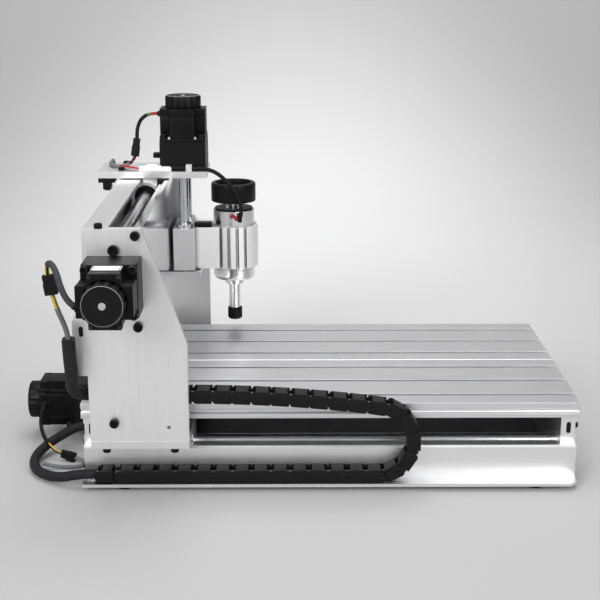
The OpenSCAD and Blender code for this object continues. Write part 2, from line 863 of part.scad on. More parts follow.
module beam_front() {
  color(silver) on_gantry() difference() {
    profile_x(-side_in, side_in) polygon([
      [-wall_back, beam_low], [-boss_in, beam_low], [-boss_in, beam_low + boss_h],
      [-wall_back, beam_low + boss_h], [-wall_back, front_screw_high - boss_h / 2],
      [-boss_in, front_screw_high - boss_h / 2], [-boss_in, front_screw_high + boss_h / 2],
      [-wall_back, front_screw_high + boss_h / 2], [-wall_back, beam_high],
      [-wall_front, beam_high], [-wall_front, beam_low]
    ]);
    for (z = [front_screw_high, front_screw_low], sx = [-1, 1]) {
      translate([sx * (side_in - 15) - 16, -front_screw_u, z]) along_x()
        cylinder(d = cap_shank_d + 2 * hole_gap, h = 32);
    }
  }
}

module rear_brace() {
  slot_h = 11;
  slot_t = 4.5;
  color(silver) on_gantry() difference() {
    box([-gantry_half, 0.02, brace_z], [gantry_half, brace_d, brace_z + brace_h]);
    for (sx = [-1, 1]) {
      translate([sx * gantry_half - 20, brace_d * 0.35, brace_z + brace_h - 12]) along_x()
        rounded_bar(slot_h, slot_t, 40, slot_t / 2 - 0.1);
    }
    for (z = [brace_z + 18, brace_z + 38]) {
      box([-gantry_half - e, brace_d - 1.2, z - 2.5], [gantry_half + e, brace_d + e, z + 2.5]);
    }
  }
}

module x_shafts() {
  half = side_in - run_gap;
  color(steel) on_gantry() for (z = [x_high, x_low]) {
    translate([-half, -x_axis, z]) along_x() difference() {
      cylinder(d = shaft_d, h = 2 * half);
      translate([0, 0, -e]) cylinder(d = cap_shank_d + 2 * hole_gap, h = end_screw_len + e);
      translate([0, 0, 2 * half - end_screw_len])
        cylinder(d = cap_shank_d + 2 * hole_gap, h = end_screw_len + e);
    }
  }
}

module x_screw_bearings() {
  color(steel) on_gantry() for (x = [-side_in - bearing_w, side_in]) {
    translate([x, -x_axis, x_screw_z]) along_x() ring(bearing_d, journal_d + 2 * run_gap, bearing_w);
  }
}

module x_housing() {
  color(graphite) on_gantry() translate([-gantry_half, -x_axis, x_screw_z])
    rotate([0, -90, 0]) housing(housing_len);
}

module x_motor() {
  color(black) on_gantry() translate([-gantry_half - housing_len, -x_axis, x_screw_z])
    rotate([0, -90, 0]) motor();
}

module x_screw() {
  low = bearing_w - 0.5;
  thread = 2 * side_in - 2 * run_gap;
  to_coupling = side_t + coupling_gap + run_gap;
  start = side_in - run_gap + low;
  used = -start + low + thread + to_coupling + coupling_len;
  color(steel) on_gantry() translate([start, -x_axis, x_screw_z]) rotate([0, -90, 0])
    drive_screw(screw_d, low, thread, to_coupling, left_reach - used, 0);
}

module x_knob() {
  color(black) on_gantry() translate([-gantry_half - x_stack - run_gap, -x_axis, x_screw_z])
    rotate([0, -90, 0]) knob_on_shaft();
}

module gantry_screws() {
  color(black) on_gantry() for (sx = [-1, 1]) mirror([sx < 0 ? 1 : 0, 0, 0]) {
    for (s = side_screws()) {
      translate([gantry_half, -s[0], s[1]]) rotate([0, 90, 0])
        cap_screw(s[2], cap_shank_d, s[1] < 100 ? side_t - 1 : side_t + 10);
    }
    translate([gantry_half - side_t / 2, -16.6, beam_high]) cap_screw(8.5, 5, 12);
    for (u = [15.7, 87.7]) {
      translate([gantry_half - side_t / 2, -u, floor_z]) rotate([180, 0, 0])
        cap_screw(8.5, 5, floor_t + 10);
    }
  }
}

// ---------- X carriage ----------

module x_block() {
  half = carriage_w / 2;
  color(silver) on_carriage() difference() {
    union() {
      for (z = [x_high, x_low]) {
        translate([-half, -x_axis, z]) along_x() cylinder(r = block_r, h = carriage_w);
      }
      box([-half, -x_axis - block_r, x_low], [half, -x_axis + block_r, x_high]);
      box([-half + 6, -neck_front, x_high], [half - 6, -neck_back, top_z]);
      box([-half, -ledge_neck_front, ledge_z + ledge_t], [half, -ledge_back, x_low]);
    }
    for (z = [x_high, x_low]) {
      translate([-half - e, -x_axis, z]) along_x()
        cylinder(d = bush_d + 2 * seat_gap, h = carriage_w + 2 * e);
    }
    translate([-half - e, -x_axis, x_screw_z]) along_x()
      cylinder(d = screw_d + 2 * run_gap, h = carriage_w + 2 * e);
  }
}

module x_bushes() {
  half = carriage_w / 2;
  color(steel) on_carriage() for (z = [x_high, x_low], x = [-half, half - bush_len]) {
    translate([x, -x_axis, z]) along_x() ring(bush_d, shaft_d + 2 * run_gap, bush_len);
  }
}

module z_top_plate() {
  half = carriage_w / 2;
  color(silver) on_carriage() difference() {
    box([-half, -top_front, top_z], [half, top_back, top_z + top_t]);
    translate([0, -z_axis, top_z - e]) cylinder(d = z_screw_d + 2, h = top_t + 2 * e);
    for (sx = [-1, 1]) {
      translate([sx * z_shaft_pitch / 2, -z_axis, top_z - e])
        cylinder(d = z_shaft_d + 2 * seat_gap, h = shaft_in_top + e);
    }
    for (sx = [-1, 1], sy = [-1, 1]) {
      translate([sx * motor_screw_at, -z_axis + sy * motor_screw_at, top_z - e])
        cylinder(d = motor_screw_d, h = top_t + 2 * e);
    }
  }
}

module z_bottom_plate() {
  half = carriage_w / 2;
  color(silver) on_carriage() difference() {
    box([-half, -ledge_front, ledge_z], [half, -ledge_back, ledge_z + ledge_t]);
    translate([0, -z_axis, ledge_z - e]) cylinder(d = journal_d + 2 * run_gap, h = ledge_t + 2 * e);
    for (sx = [-1, 1]) {
      translate([sx * z_shaft_pitch / 2, -z_axis, ledge_z + ledge_t - shaft_in_ledge])
        cylinder(d = z_shaft_d + 2 * seat_gap, h = shaft_in_ledge + e);
    }
  }
}

module z_shafts() {
  low = ledge_z + ledge_t - shaft_in_ledge + seat_gap;
  high = top_z + shaft_in_top - seat_gap;
  color(steel) on_carriage() for (sx = [-1, 1]) {
    translate([sx * z_shaft_pitch / 2, -z_axis, low]) cylinder(d = z_shaft_d, h = high - low);
  }
}

module z_housing() {
  color(graphite) on_carriage() translate([0, -z_axis, top_z + top_t]) housing(housing_len);
}

module z_motor() {
  color(black) on_carriage() translate([0, -z_axis, top_z + top_t + housing_len]) motor();
}

module z_screw() {
  low = ledge_t + run_gap;
  bottom = ledge_z;
  thread = top_z + top_t - bottom - low;
  to_coupling = coupling_gap;
  used = bottom + low + thread + to_coupling + coupling_len;
  top = top_z + top_t + x_stack + knob_len;
  color(steel) on_carriage() translate([0, -z_axis, bottom])
    drive_screw(z_screw_d, low, thread, to_coupling, top - used, 0);
}

module z_knob() {
  color(black) on_carriage() translate([0, -z_axis, top_z + top_t + x_stack + run_gap])
    knob_on_shaft();
}

module limit_switch() {
  color(black) on_carriage() {
    box([-34, top_back - 21, top_z - 6], [-12, top_back - 1, top_z]);
    box([-31, top_back - 16, top_z - 15], [-18, top_back - 6, top_z - 6]);
  }
}

// White wire connector on the near edge of the top plate
module wire_joint() {
  start_u = 64;
  length = 40;
  color(white) on_carriage() translate([-carriage_w / 2 + 0.3, -start_u, top_z + top_t]) {
    cube([joint_w, length, 7]);
    translate([0, length / 3, 7]) cube([joint_w, length / 2, 2]);
  }
}

// ---------- Z slider and spindle ----------

module z_block() {
  half = carriage_w / 2;
  color(silver) on_carriage() difference() {
    box([-half, -slider_front, slider_z], [half, -slider_back, slider_top]);
    translate([0, -z_axis, slider_z - e])
      cylinder(d = z_screw_d + 2 * run_gap, h = slider_h + 2 * e);
    for (sx = [-1, 1]) {
      translate([sx * z_shaft_pitch / 2, -z_axis, slider_z - e])
        cylinder(d = z_bush_d + 2 * seat_gap, h = slider_h + 2 * e);
    }
  }
}

module z_bushes() {
  color(steel) on_carriage() for (sx = [-1, 1]) {
    translate([sx * z_shaft_pitch / 2, -z_axis, slider_z])
      ring(z_bush_d, z_shaft_d + 2 * run_gap, slider_h + z_bush_up);
  }
}

// A finned collar around the spindle, with a flat neck to the slider
module spindle_clamp() {
  color(silver) on_carriage() difference() {
    union() {
      translate([0, -spindle_axis, slider_z]) cylinder(d = clamp_d, h = slider_h);
      box([-clamp_neck_w / 2, -spindle_axis, slider_z],
        [clamp_neck_w / 2, -slider_front - 0.02, slider_top]);
    }
    translate([0, -spindle_axis, slider_z - e])
      cylinder(d = can_d + 2 * seat_gap, h = slider_h + 2 * e);
    for (side = [0, 180], a = [-30, -10, 10, 30]) {
      translate([0, -spindle_axis, slider_z - e]) rotate(side + a)
        translate([clamp_d / 2 - groove_d, -groove_w / 2, 0])
          cube([clamp_d, groove_w, slider_h + 2 * e]);
    }
  }
}

// A hollow can, closed at both ends around its shaft
module spindle_body() {
  r = can_d / 2;
  round_r = 5;
  color(silver) on_carriage() translate([0, -spindle_axis, 0]) difference() {
    union() {
      translate([0, 0, can_z + round_r]) cylinder(r = r, h = can_h - round_r);
      translate([0, 0, can_z + round_r]) rotate_extrude($fn = 64)
        intersection() {
          union() {
            translate([r - round_r, 0]) circle(r = round_r, $fn = 40);
            translate([0, -round_r]) square([r - round_r, 2 * round_r]);
          }
          translate([0, -round_r]) square([r, round_r + 0.1]);
        }
      translate([0, 0, can_z - ring_h]) cylinder(d = ring_d, h = ring_h + 1);
    }
    translate([0, 0, can_z + can_wall + 2]) cylinder(r = r - can_wall, h = can_h - 2 * can_wall - 2);
    translate([0, 0, can_z - ring_h - e]) cylinder(d = nose_d + 2 * run_gap, h = 20);
    translate([0, 0, can_top - 5]) cylinder(d = journal_d + 2 * run_gap, h = 10);
  }
}

// The shroud of the cooling fan, on two posts over the can
module spindle_cap() {
  color(black) on_carriage() translate([0, -spindle_axis, 0]) difference() {
    union() {
      translate([0, 0, cap_z]) ring(cap_d, cap_d - 2 * cap_wall, cap_h);
      translate([0, 0, cap_z]) ring(cap_d - cap_wall, 16, 3);
      for (sx = [-1, 1]) {
        translate([sx * 12, 0, can_top]) cylinder(d = 7, h = cap_z - can_top + 1);
      }
    }
    translate([0, 0, cap_z - e]) cylinder(d = 12, h = 4 + e);
  }
}

// The collet shaft with its armature and fan
module spindle_shaft() {
  nose_top = can_z + can_wall + 6;
  arm_low = can_z + 16;
  arm_high = can_top - 16;
  r = journal_d / 2;
  fan_z = cap_z + 5;
  cross_up = 21.5;
  cross_d = 2.6;
  color(steel) on_carriage() translate([0, -spindle_axis, 0]) {
    difference() {
      rotate_extrude() polygon([
        [0, nut_z + 4], [nose_d / 2 - 1.5, nut_z + 4], [nose_d / 2 - 1.5, nut_z + nut_h],
        [nose_d / 2, nut_z + nut_h], [nose_d / 2, nose_top], [r, nose_top], [r, arm_low],
        [rotor_d / 2, arm_low], [rotor_d / 2, arm_high], [r, arm_high], [r, fan_z], [9, fan_z],
        [9, fan_z + 8], [r, fan_z + 8], [r, fan_z + 14], [0, fan_z + 14]
      ]);
      translate([0, 0, nut_z]) cylinder(d = collet_d, h = 40);
      translate([0, 0, nut_z + nut_h + cross_up]) along_x()
        cylinder(d = cross_d, h = nose_d + e, center = true);
    }
    for (k = [0 : 6]) rotate(360 * k / 7) translate([8, 0, fan_z]) rotate([35, 0, 0])
      translate([0, -0.8, 2]) cube([12, 1.6, 8]);
  }
}

module collet_nut() {
  flats = 6;
  r = nut_d / 2;
  seat_r = nose_d / 2 - 1.5 + seat_gap;
  color(black) on_carriage() translate([0, -spindle_axis, nut_z]) difference() {
    rotate_extrude() polygon([
      [collet_d / 2, 0], [r - 1.5, 0], [r, 2], [r, nut_h - 1], [r - 1, nut_h], [seat_r, nut_h],
      [seat_r, 3.8], [collet_d / 2, 3.8]
    ]);
    for (k = [0 : flats - 1]) rotate(60 * k) translate([r + 1.1, 0, -e])
      cylinder(r = 2, h = nut_h - 3);
  }
}

// ---------- Cords ----------

// A block-shaped inline connector on a cord, between two points of its route
module plug(route, i, w, t) {
  a = route[i];
  b = route[i + 2];
  axis = b - a;
  translate(a) rotate([0, acos(axis[2] / norm(axis)), atan2(axis[1], axis[0])])
    translate([-t / 2, -w / 2, 0]) cube([t, w, norm(axis)]);
}

module z_motor_lead() {
  color(black) place() cord_tube(z_lead_route, z_lead_r);
}

module z_lead_plug() {
  color(black) place() plug(z_lead_route, 5, 11, 8);
}

module spindle_lead() {
  color(black) place() cord_tube(spindle_lead_route, spindle_lead_r);
}

module x_motor_lead() {
  color(grey) place() cord_tube(x_lead_route, x_lead_r);
}

module x_lead_plug() {
  color(black) place() plug(x_lead_route, 8, 14, 9);
}

module gantry_loom() {
  color(black) place() cord_tube(gantry_loom_route, gantry_loom_r, 10);
}

module base_loom() {
  color(black) place() cord_tube(base_loom_route, base_loom_r, 10);
}

module y_motor_lead() {
  color(grey) place() cord_tube(y_lead_route, y_lead_r);
}

module y_lead_plug() {
  color(black) place() plug(y_lead_route, 7, 11, 8);
}

left_beam();
right_beam();
front_plate();
rear_plate();
table_planks();
base_pan();
feet();
y_shafts();
y_screw_bearings();
base_screws();
y_housing();
y_motor();
chain_anchor();
chain_lower();
y_screw();
y_knob();
chain_bend();
left_side_plate();
right_side_plate();
gantry_floor();
y_bearing_blocks();
y_nut_block();
beam_back();
beam_front();
rear_brace();
x_shafts();
x_screw_bearings();
x_housing();
x_motor();
chain_upper();
gantry_screws();
x_screw();
x_knob();
x_block();
x_bushes();
z_top_plate();
z_bottom_plate();
z_shafts();
z_housing();
z_motor();
limit_switch();
wire_joint();
z_screw();
z_knob();
z_block();
z_bushes();
spindle_clamp();
spindle_body();
spindle_cap();
spindle_shaft();
collet_nut();
z_motor_lead();
z_lead_plug();
spindle_lead();
x_motor_lead();
x_lead_plug();
gantry_loom();
base_loom();
y_motor_lead();
y_lead_plug();
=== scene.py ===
import math

import bmesh
import bpy
from mathutils import Matrix, Vector


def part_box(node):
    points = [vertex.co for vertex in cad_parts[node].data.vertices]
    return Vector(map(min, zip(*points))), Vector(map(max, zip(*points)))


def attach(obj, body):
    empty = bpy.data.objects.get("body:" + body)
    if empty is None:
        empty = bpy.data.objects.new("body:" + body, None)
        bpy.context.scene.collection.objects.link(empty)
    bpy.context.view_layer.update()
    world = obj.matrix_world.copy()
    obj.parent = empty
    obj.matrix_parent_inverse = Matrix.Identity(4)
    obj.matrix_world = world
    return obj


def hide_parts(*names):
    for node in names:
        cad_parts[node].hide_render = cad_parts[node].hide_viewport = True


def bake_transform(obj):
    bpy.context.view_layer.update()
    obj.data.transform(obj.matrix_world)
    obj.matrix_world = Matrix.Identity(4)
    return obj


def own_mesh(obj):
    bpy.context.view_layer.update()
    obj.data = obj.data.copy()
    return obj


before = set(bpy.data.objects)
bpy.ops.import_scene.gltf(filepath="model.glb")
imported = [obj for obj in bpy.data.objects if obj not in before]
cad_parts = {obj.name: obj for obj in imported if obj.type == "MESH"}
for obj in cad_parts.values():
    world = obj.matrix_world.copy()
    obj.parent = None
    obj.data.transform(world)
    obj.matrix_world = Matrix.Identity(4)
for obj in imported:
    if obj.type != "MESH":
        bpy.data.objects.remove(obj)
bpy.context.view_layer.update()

# Pieces are built in millimetres from the middle of the bed, with the floor at 0, and moved into
# the frame when they are done. X runs along the gantry, -Y to the front, Z up.
MM = 0.001
BED_LOW, BED_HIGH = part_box("table_planks")
BED_MIDDLE = (BED_LOW + BED_HIGH) / 2
TO_FRAME = Matrix.Translation((BED_MIDDLE.x, BED_MIDDLE.y, 0)) @ Matrix.Scale(MM, 4)
SHARP = math.radians(32)
X, Y, Z = Vector((1, 0, 0)), Vector((0, 1, 0)), Vector((0, 0, 1))


def span(node):
    """The lowest and highest corners of a CAD node, in millimetres."""
    low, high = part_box(node)
    back = TO_FRAME.inverted()
    return back @ low, back @ high


def middle(node):
    low, high = span(node)
    return (low + high) / 2


# ---------- Camera ----------

def make_camera():
    tilt, turn = math.radians(15.45), math.radians(0.38)
    data = bpy.data.cameras.new("camera")
    data.lens = 74.145
    data.sensor_width = 36
    data.clip_end = 60
    camera = bpy.data.objects.new("camera", data)
    bpy.context.scene.collection.objects.link(camera)
    camera.location = (-1.36205, 0.0003, 0.55371)
    forward = Vector((
        math.cos(tilt) * math.cos(turn),
        -math.cos(tilt) * math.sin(turn),
        -math.sin(tilt),
    ))
    camera.rotation_mode = "QUATERNION"
    camera.rotation_quaternion = forward.to_track_quat("-Z", "Y")
    bpy.context.scene.camera = camera


# ---------- Shader groups ----------

class Tree:
    """Adds nodes to a node tree and joins them."""

    def __init__(self, tree):
        self.tree = tree

    def add(self, kind, inputs=(), **settings):
        node = self.tree.nodes.new(kind)
        for name, value in settings.items():
            setattr(node, name, value)
        for name, value in dict(inputs).items():
            if isinstance(value, bpy.types.NodeSocket):
                self.tree.links.new(value, node.inputs[name])
            else:
                node.inputs[name].default_value = value
        return node

    def maths(self, operation, a, b=0.0, clamp=False):
        node = self.add("ShaderNodeMath", {0: a, 1: b}, operation=operation, use_clamp=clamp)
        return node.outputs[0]

    def between(self, value, low, high):
        node = self.add("ShaderNodeMapRange", {"Value": value, "To Min": low, "To Max": high})
        return node.outputs["Result"]

    def blend(self, share, a, b):
        node = self.add("ShaderNodeMix", data_type="RGBA")
        for socket, value in ((node.inputs[0], share), (node.inputs[6], a), (node.inputs[7], b)):
            if isinstance(value, bpy.types.NodeSocket):
                self.tree.links.new(value, socket)
            else:
                socket.default_value = value
        return node.outputs[2]


def new_group(name, inputs, outputs):
    group = bpy.data.node_groups.new(name, "ShaderNodeTree")
    for label, kind in inputs:
        group.interface.new_socket(label, in_out="INPUT", socket_type=kind)
    for label in outputs:
        group.interface.new_socket(label, in_out="OUTPUT", socket_type="NodeSocketFloat")
    tree = Tree(group)
    return group, tree, tree.add("NodeGroupInput"), tree.add("NodeGroupOutput")


def fine_grain_group():
    """Grain that is drawn out along an axis by a small scale on that axis."""
    group, tree, given, made = new_group(
        "fine_grain", [("Stretch", "NodeSocketVector"), ("Detail", "NodeSocketFloat")], ["Height"]
    )
    place = tree.add("ShaderNodeTexCoord").outputs["Object"]
    scaled = tree.add("ShaderNodeMapping", {"Vector": place, "Scale": given.outputs["Stretch"]})
    noise = tree.add("ShaderNodeTexNoise", {
        "Vector": scaled.outputs[0], "Scale": 1.0, "Detail": given.outputs["Detail"], "Roughness": 0.62,
    })
    group.links.new(tree.between(noise.outputs["Fac"], -0.35, 1.35), made.inputs["Height"])
    return group


def edge_highlight_group():
    """A painted highlight mask that is high along outer edges and broken up by small noise."""
    group, tree, given, made = new_group("painted_edge_highlight", [("Width", "NodeSocketFloat")], ["Mask"])
    bevel = tree.add("ShaderNodeBevel", {"Radius": given.outputs["Width"]}, samples=3)
    normal = tree.add("ShaderNodeNewGeometry").outputs["Normal"]
    dot = tree.add("ShaderNodeVectorMath", {0: bevel.outputs[0], 1: normal}, operation="DOT_PRODUCT")
    turned = tree.maths("MULTIPLY", tree.maths("SUBTRACT", 1.0, dot.outputs["Value"]), 5.0, True)
    place = tree.add("ShaderNodeTexCoord").outputs["Object"]
    noise = tree.add("ShaderNodeTexNoise", {"Vector": place, "Scale": 420.0, "Detail": 3.0})
    broken = tree.maths("ADD", tree.maths("MULTIPLY", noise.outputs["Fac"], 1.1), 0.1)
    group.links.new(tree.maths("MULTIPLY", turned, broken, True), made.inputs["Mask"])
    return group


def marks_group():
    """Faint handling marks and dust: soft cloudy patches with a few fine specks."""
    group, tree, given, made = new_group("marks", [("Size", "NodeSocketFloat")], ["Cloud", "Specks"])
    place = tree.add("ShaderNodeTexCoord").outputs["Object"]
    cloud = tree.add("ShaderNodeTexNoise", {
        "Vector": place, "Scale": given.outputs["Size"], "Detail": 4.0, "Roughness": 0.6,
    })
    specks = tree.add("ShaderNodeTexNoise", {"Vector": place, "Scale": 1500.0, "Detail": 2.0})
    group.links.new(tree.between(cloud.outputs["Fac"], -0.4, 1.4), made.inputs["Cloud"])
    rare = tree.maths("MULTIPLY", tree.maths("SUBTRACT", specks.outputs["Fac"], 0.64), 9.0, True)
    group.links.new(rare, made.inputs["Specks"])
    return group


def crevice_group():
    """A painted shade mask, from ambient occlusion, that is high in narrow grooves and corners."""
    group, tree, given, made = new_group("crevice", [("Reach", "NodeSocketFloat")], ["Mask"])
    painted_shade = tree.add("ShaderNodeAmbientOcclusion", {"Distance": given.outputs["Reach"]}, samples=6)
    group.links.new(tree.maths("SUBTRACT", 1.0, painted_shade.outputs["AO"], True), made.inputs["Mask"])
    return group


GRAIN = fine_grain_group()
AO_SHADE = crevice_group()
EDGES = edge_highlight_group()
MARKS = marks_group()


# ---------- Materials ----------

def rgba(colour, share=1.0):
    return (*[min(1.0, c * share) for c in colour], 1.0)


def finish(name, colour, metallic=0.0, roughness=0.5, stretch=(700, 700, 700), detail=4.0, shade=0.12,
           rough_spread=0.15, depth=0.02, edge=None, edge_width=0.4, coat=0.0, coat_roughness=0.15,
           specular=0.14, marks=0.08, mark_size=18.0, dust=0.0, crevice=0.0):
    """A finish with grain in its colour, roughness and height, a painted highlight along outer edges, and
    faint marks.
    """
    material = bpy.data.materials.new(name)
    material.use_nodes = True
    tree = Tree(material.node_tree)
    shader = material.node_tree.nodes["Principled BSDF"]
    shader.inputs["Metallic"].default_value = metallic
    shader.inputs["Specular IOR Level"].default_value = specular
    shader.inputs["Coat Weight"].default_value = coat
    shader.inputs["Coat Roughness"].default_value = coat_roughness
    grain = tree.add("ShaderNodeGroup", node_tree=GRAIN)
    grain.inputs["Stretch"].default_value = stretch
    grain.inputs["Detail"].default_value = detail
    height = grain.outputs["Height"]
    spots = tree.add("ShaderNodeGroup", node_tree=MARKS)
    spots.inputs["Size"].default_value = mark_size
    tone = tree.blend(height, rgba(colour, 1 - shade), rgba(colour, 1 + shade))
    tone = tree.blend(tree.maths("MULTIPLY", spots.outputs["Cloud"], marks), tone, rgba(colour, 0.7))
    if dust:
        tone = tree.blend(tree.maths("MULTIPLY", spots.outputs["Specks"], dust), tone, (0.12, 0.12, 0.12, 1))
    rough = tree.between(height, roughness - rough_spread / 2, roughness + rough_spread / 2)
    rough = tree.maths("ADD", rough, tree.maths("MULTIPLY", spots.outputs["Cloud"], marks), True)
    # outer edges lightened to the edge colour: painted highlight
    if edge is not None:
        edge_highlight_node = tree.add("ShaderNodeGroup", node_tree=EDGES)
        edge_highlight_node.inputs["Width"].default_value = edge_width * MM
        tone = tree.blend(edge_highlight_node.outputs["Mask"], tone, rgba(edge))
    # grooves and corners darkened towards black: painted shade
    if crevice:
        painted_shade = tree.add("ShaderNodeGroup", node_tree=AO_SHADE)
        painted_shade.inputs["Reach"].default_value = crevice * MM
        tone = tree.blend(tree.maths("MULTIPLY", painted_shade.outputs["Mask"], 1.5, True), tone, rgba(colour, 0.12))
    links = material.node_tree.links
    links.new(tone, shader.inputs["Base Color"])
    links.new(rough, shader.inputs["Roughness"])
    bump = tree.add("ShaderNodeBump", {"Height": height, "Strength": 0.6, "Distance": depth * MM})
    links.new(bump.outputs[0], shader.inputs["Normal"])
    return material


ALONG = {"x": (9, 1500, 1500), "y": (1500, 9, 1500), "z": (1500, 1500, 9)}
PALE = (0.86, 0.86, 0.865)
# colour of the painted highlight along outer edges
EDGE_HIGHLIGHT_TONE = (0.95, 0.95, 0.95)


def aluminium(name, axis, colour=PALE, roughness=0.36, depth=0.012, shade=0.05, **more):
    return finish(name, colour, 1.0, roughness, ALONG[axis], 3.0, shade, 0.14, depth, EDGE_HIGHLIGHT_TONE, 0.35,
                  marks=0.05, **more)


FRAME_Y = aluminium("frame_aluminium_y", "y")
FRAME_X = aluminium("frame_aluminium_x", "x")
FRAME_Z = aluminium("frame_aluminium_z", "z", roughness=0.42)
# grooves on the clamp darkened with painted shade
CLAMP = aluminium("clamp_aluminium", "z", (0.95, 0.95, 0.95), 0.62, crevice=6.0)
BED = aluminium("bed_aluminium", "y", (0.77, 0.77, 0.78), 0.36, 0.03, 0.08)
FACE = finish("face_aluminium", (0.8, 0.8, 0.81), 1.0, 0.11, ALONG["x"], 3.0, 0.05, 0.05, 0.002, EDGE_HIGHLIGHT_TONE,
              0.35, marks=0.03)
SHEET = finish("black_sheet", (0.006, 0.006, 0.0065), 0.0, 0.4, (500,) * 3, shade=0.25, dust=0.2)
RUBBER = finish("foot_rubber", (0.01, 0.01, 0.01), 0.0, 0.8, (900,) * 3, shade=0.3, depth=0.05, dust=0.3)
GROUND = finish("ground_steel", (0.66, 0.665, 0.68), 1.0, 0.16, (60, 60, 2500), 2.0, 0.06, 0.08, 0.004,
                EDGE_HIGHLIGHT_TONE, 0.3)
SHAFT_Y = finish("ground_shaft_y", (0.6, 0.605, 0.62), 1.0, 0.16, (400, 1600, 400), 2.0, 0.05, 0.08,
                 0.004)
SHAFT_X = finish("ground_shaft_x", (0.6, 0.605, 0.62), 1.0, 0.18, (1600, 400, 400), 2.0, 0.05, 0.08,
                 0.004)
SCREW = finish("screw_steel", (0.42, 0.42, 0.44), 1.0, 0.34, (1800,) * 3, 2.0, 0.2, 0.15, 0.01)
OXIDE = finish("black_oxide", (0.008, 0.008, 0.009), 0.2, 0.34, (1500,) * 3, 3.0, 0.35, 0.2, 0.015,
               (0.07, 0.07, 0.075), 0.25)
ANODISED = finish("dark_anodised", (0.007, 0.007, 0.0075), 0.1, 0.42, (1300,) * 3, 3.0, 0.18,
                  0.12, 0.012, (0.07, 0.07, 0.075), 0.3)
MOTOR = finish("motor_black", (0.003, 0.003, 0.0034), 0.0, 0.36, (1100,) * 3, 4.0, 0.3, 0.16, 0.02,
               (0.04, 0.04, 0.043), 0.35, dust=0.15)
STACK = finish("motor_stack", (0.003, 0.003, 0.0034), 0.0, 0.38, (1600,) * 3, 3.0, 0.4, 0.18, 0.02,
               (0.05, 0.05, 0.053), 0.3)
# grey of the ring painted on the knobs' rims as a highlight
RIM_HIGHLIGHT = finish("knob_rim_highlight", (0.3, 0.3, 0.305), 0.0, 0.3, (900,) * 3, 5.0, 0.2, 0.1, 0.01)
KNOB = finish("knob_plastic", (0.0055, 0.0055, 0.006), 0.0, 0.34, (900,) * 3, 5.0, 0.25, 0.14, 0.02,
              (0.045, 0.045, 0.048), 0.35, dust=0.2)
CHAIN = finish("chain_plastic", (0.0065, 0.0065, 0.007), 0.0, 0.5, (1200,) * 3, 5.0, 0.2, 0.15, 0.03,
               (0.03, 0.03, 0.032), 0.3, dust=0.2)
BARS = finish("chain_bars", (0.017, 0.017, 0.018), 0.0, 0.5, (1200,) * 3, 5.0, 0.2, 0.15, 0.03,
              (0.04, 0.04, 0.042), 0.3, dust=0.2)
BRASS = finish("nut_brass", (0.72, 0.53, 0.24), 1.0, 0.34, (1400,) * 3, 3.0, 0.12, 0.15, 0.01,
               (0.9, 0.75, 0.4), 0.3)
POLISH = finish("spindle_polish", (0.86, 0.86, 0.87), 1.0, 0.17, (120, 120, 2600), 2.0, 0.05, 0.08,
                0.004, EDGE_HIGHLIGHT_TONE, 0.3)
WHITE = finish("white_plastic", (0.86, 0.86, 0.84), 0.0, 0.42, (700,) * 3, shade=0.04, coat=0.2,
               edge=(0.95, 0.95, 0.95), marks=0.03)
LABEL = finish("label_paper", (0.88, 0.88, 0.87), 0.0, 0.55, (600,) * 3, shade=0.03, depth=0.01)
CLIP = finish("clip_plastic", (0.6, 0.61, 0.61), 0.0, 0.45, (700,) * 3, shade=0.06, coat=0.3)
LOOM = finish("loom_black", (0.016, 0.016, 0.0175), 0.0, 0.5, (900,) * 3, 4.0, 0.25, 0.2, 0.03,
              (0.08, 0.08, 0.085), 0.3, dust=0.3)
JACKET = finish("cable_black", (0.008, 0.008, 0.009), 0.0, 0.45, (1000,) * 3, 3.0, 0.25, 0.2, 0.02)
GREY = finish("cable_grey", (0.16, 0.165, 0.175), 0.0, 0.45, (1000,) * 3, 3.0, 0.1, 0.15, 0.02)
BRAID = finish("sleeve_grey", (0.05, 0.051, 0.056), 0.0, 0.55, (1400,) * 3, 3.0, 0.35, 0.2, 0.05)


def wire(name, colour, shade=0.12):
    return finish(name, colour, 0.0, 0.42, (900,) * 3, 2.0, shade, 0.1, 0.01)


RED = wire("wire_red", (0.5, 0.03, 0.03))
YELLOW = wire("wire_yellow", (0.7, 0.52, 0.06), 0.1)
GREEN = wire("wire_green", (0.03, 0.2, 0.09))
BOOT = finish("red_boot", (0.3, 0.012, 0.03), 0.0, 0.3, (900,) * 3, 2.0, 0.15, 0.1, 0.01, coat=0.3)
# near-black painted shade for hollows: channel sleeves and connector wire holes
HOLLOW_SHADE = finish("painted_hollow_shade", (0.008, 0.008, 0.009), 0.0, 0.7, (900,) * 3, 2.0, 0.3, 0.1, 0.01)


# ---------- Mesh building ----------

def frame_along(origin, axis, up=Z):
    """A local frame at origin with its Z along axis and its Y as near to up as it can be."""
    z = Vector(axis).normalized()
    y = Vector(up) - Vector(up).dot(z) * z
    if y.length < 1e-4:
        y = z.orthogonal()
    y.normalize()
    matrix = Matrix((y.cross(z), y, z)).transposed().to_4x4()
    matrix.translation = Vector(origin)
    return matrix


def circle(radius, z, sides=48, centre=(0, 0)):
    steps = [2 * math.pi * k / sides for k in range(sides)]
    return [Vector((centre[0] + radius * math.cos(w), centre[1] + radius * math.sin(w), z)) for w in steps]


def polar(radius, z, sides):
    """A ring whose radius is a function of the angle."""
    steps = [2 * math.pi * k / sides for k in range(sides)]
    return [Vector((radius(w) * math.cos(w), radius(w) * math.sin(w), z)) for w in steps]


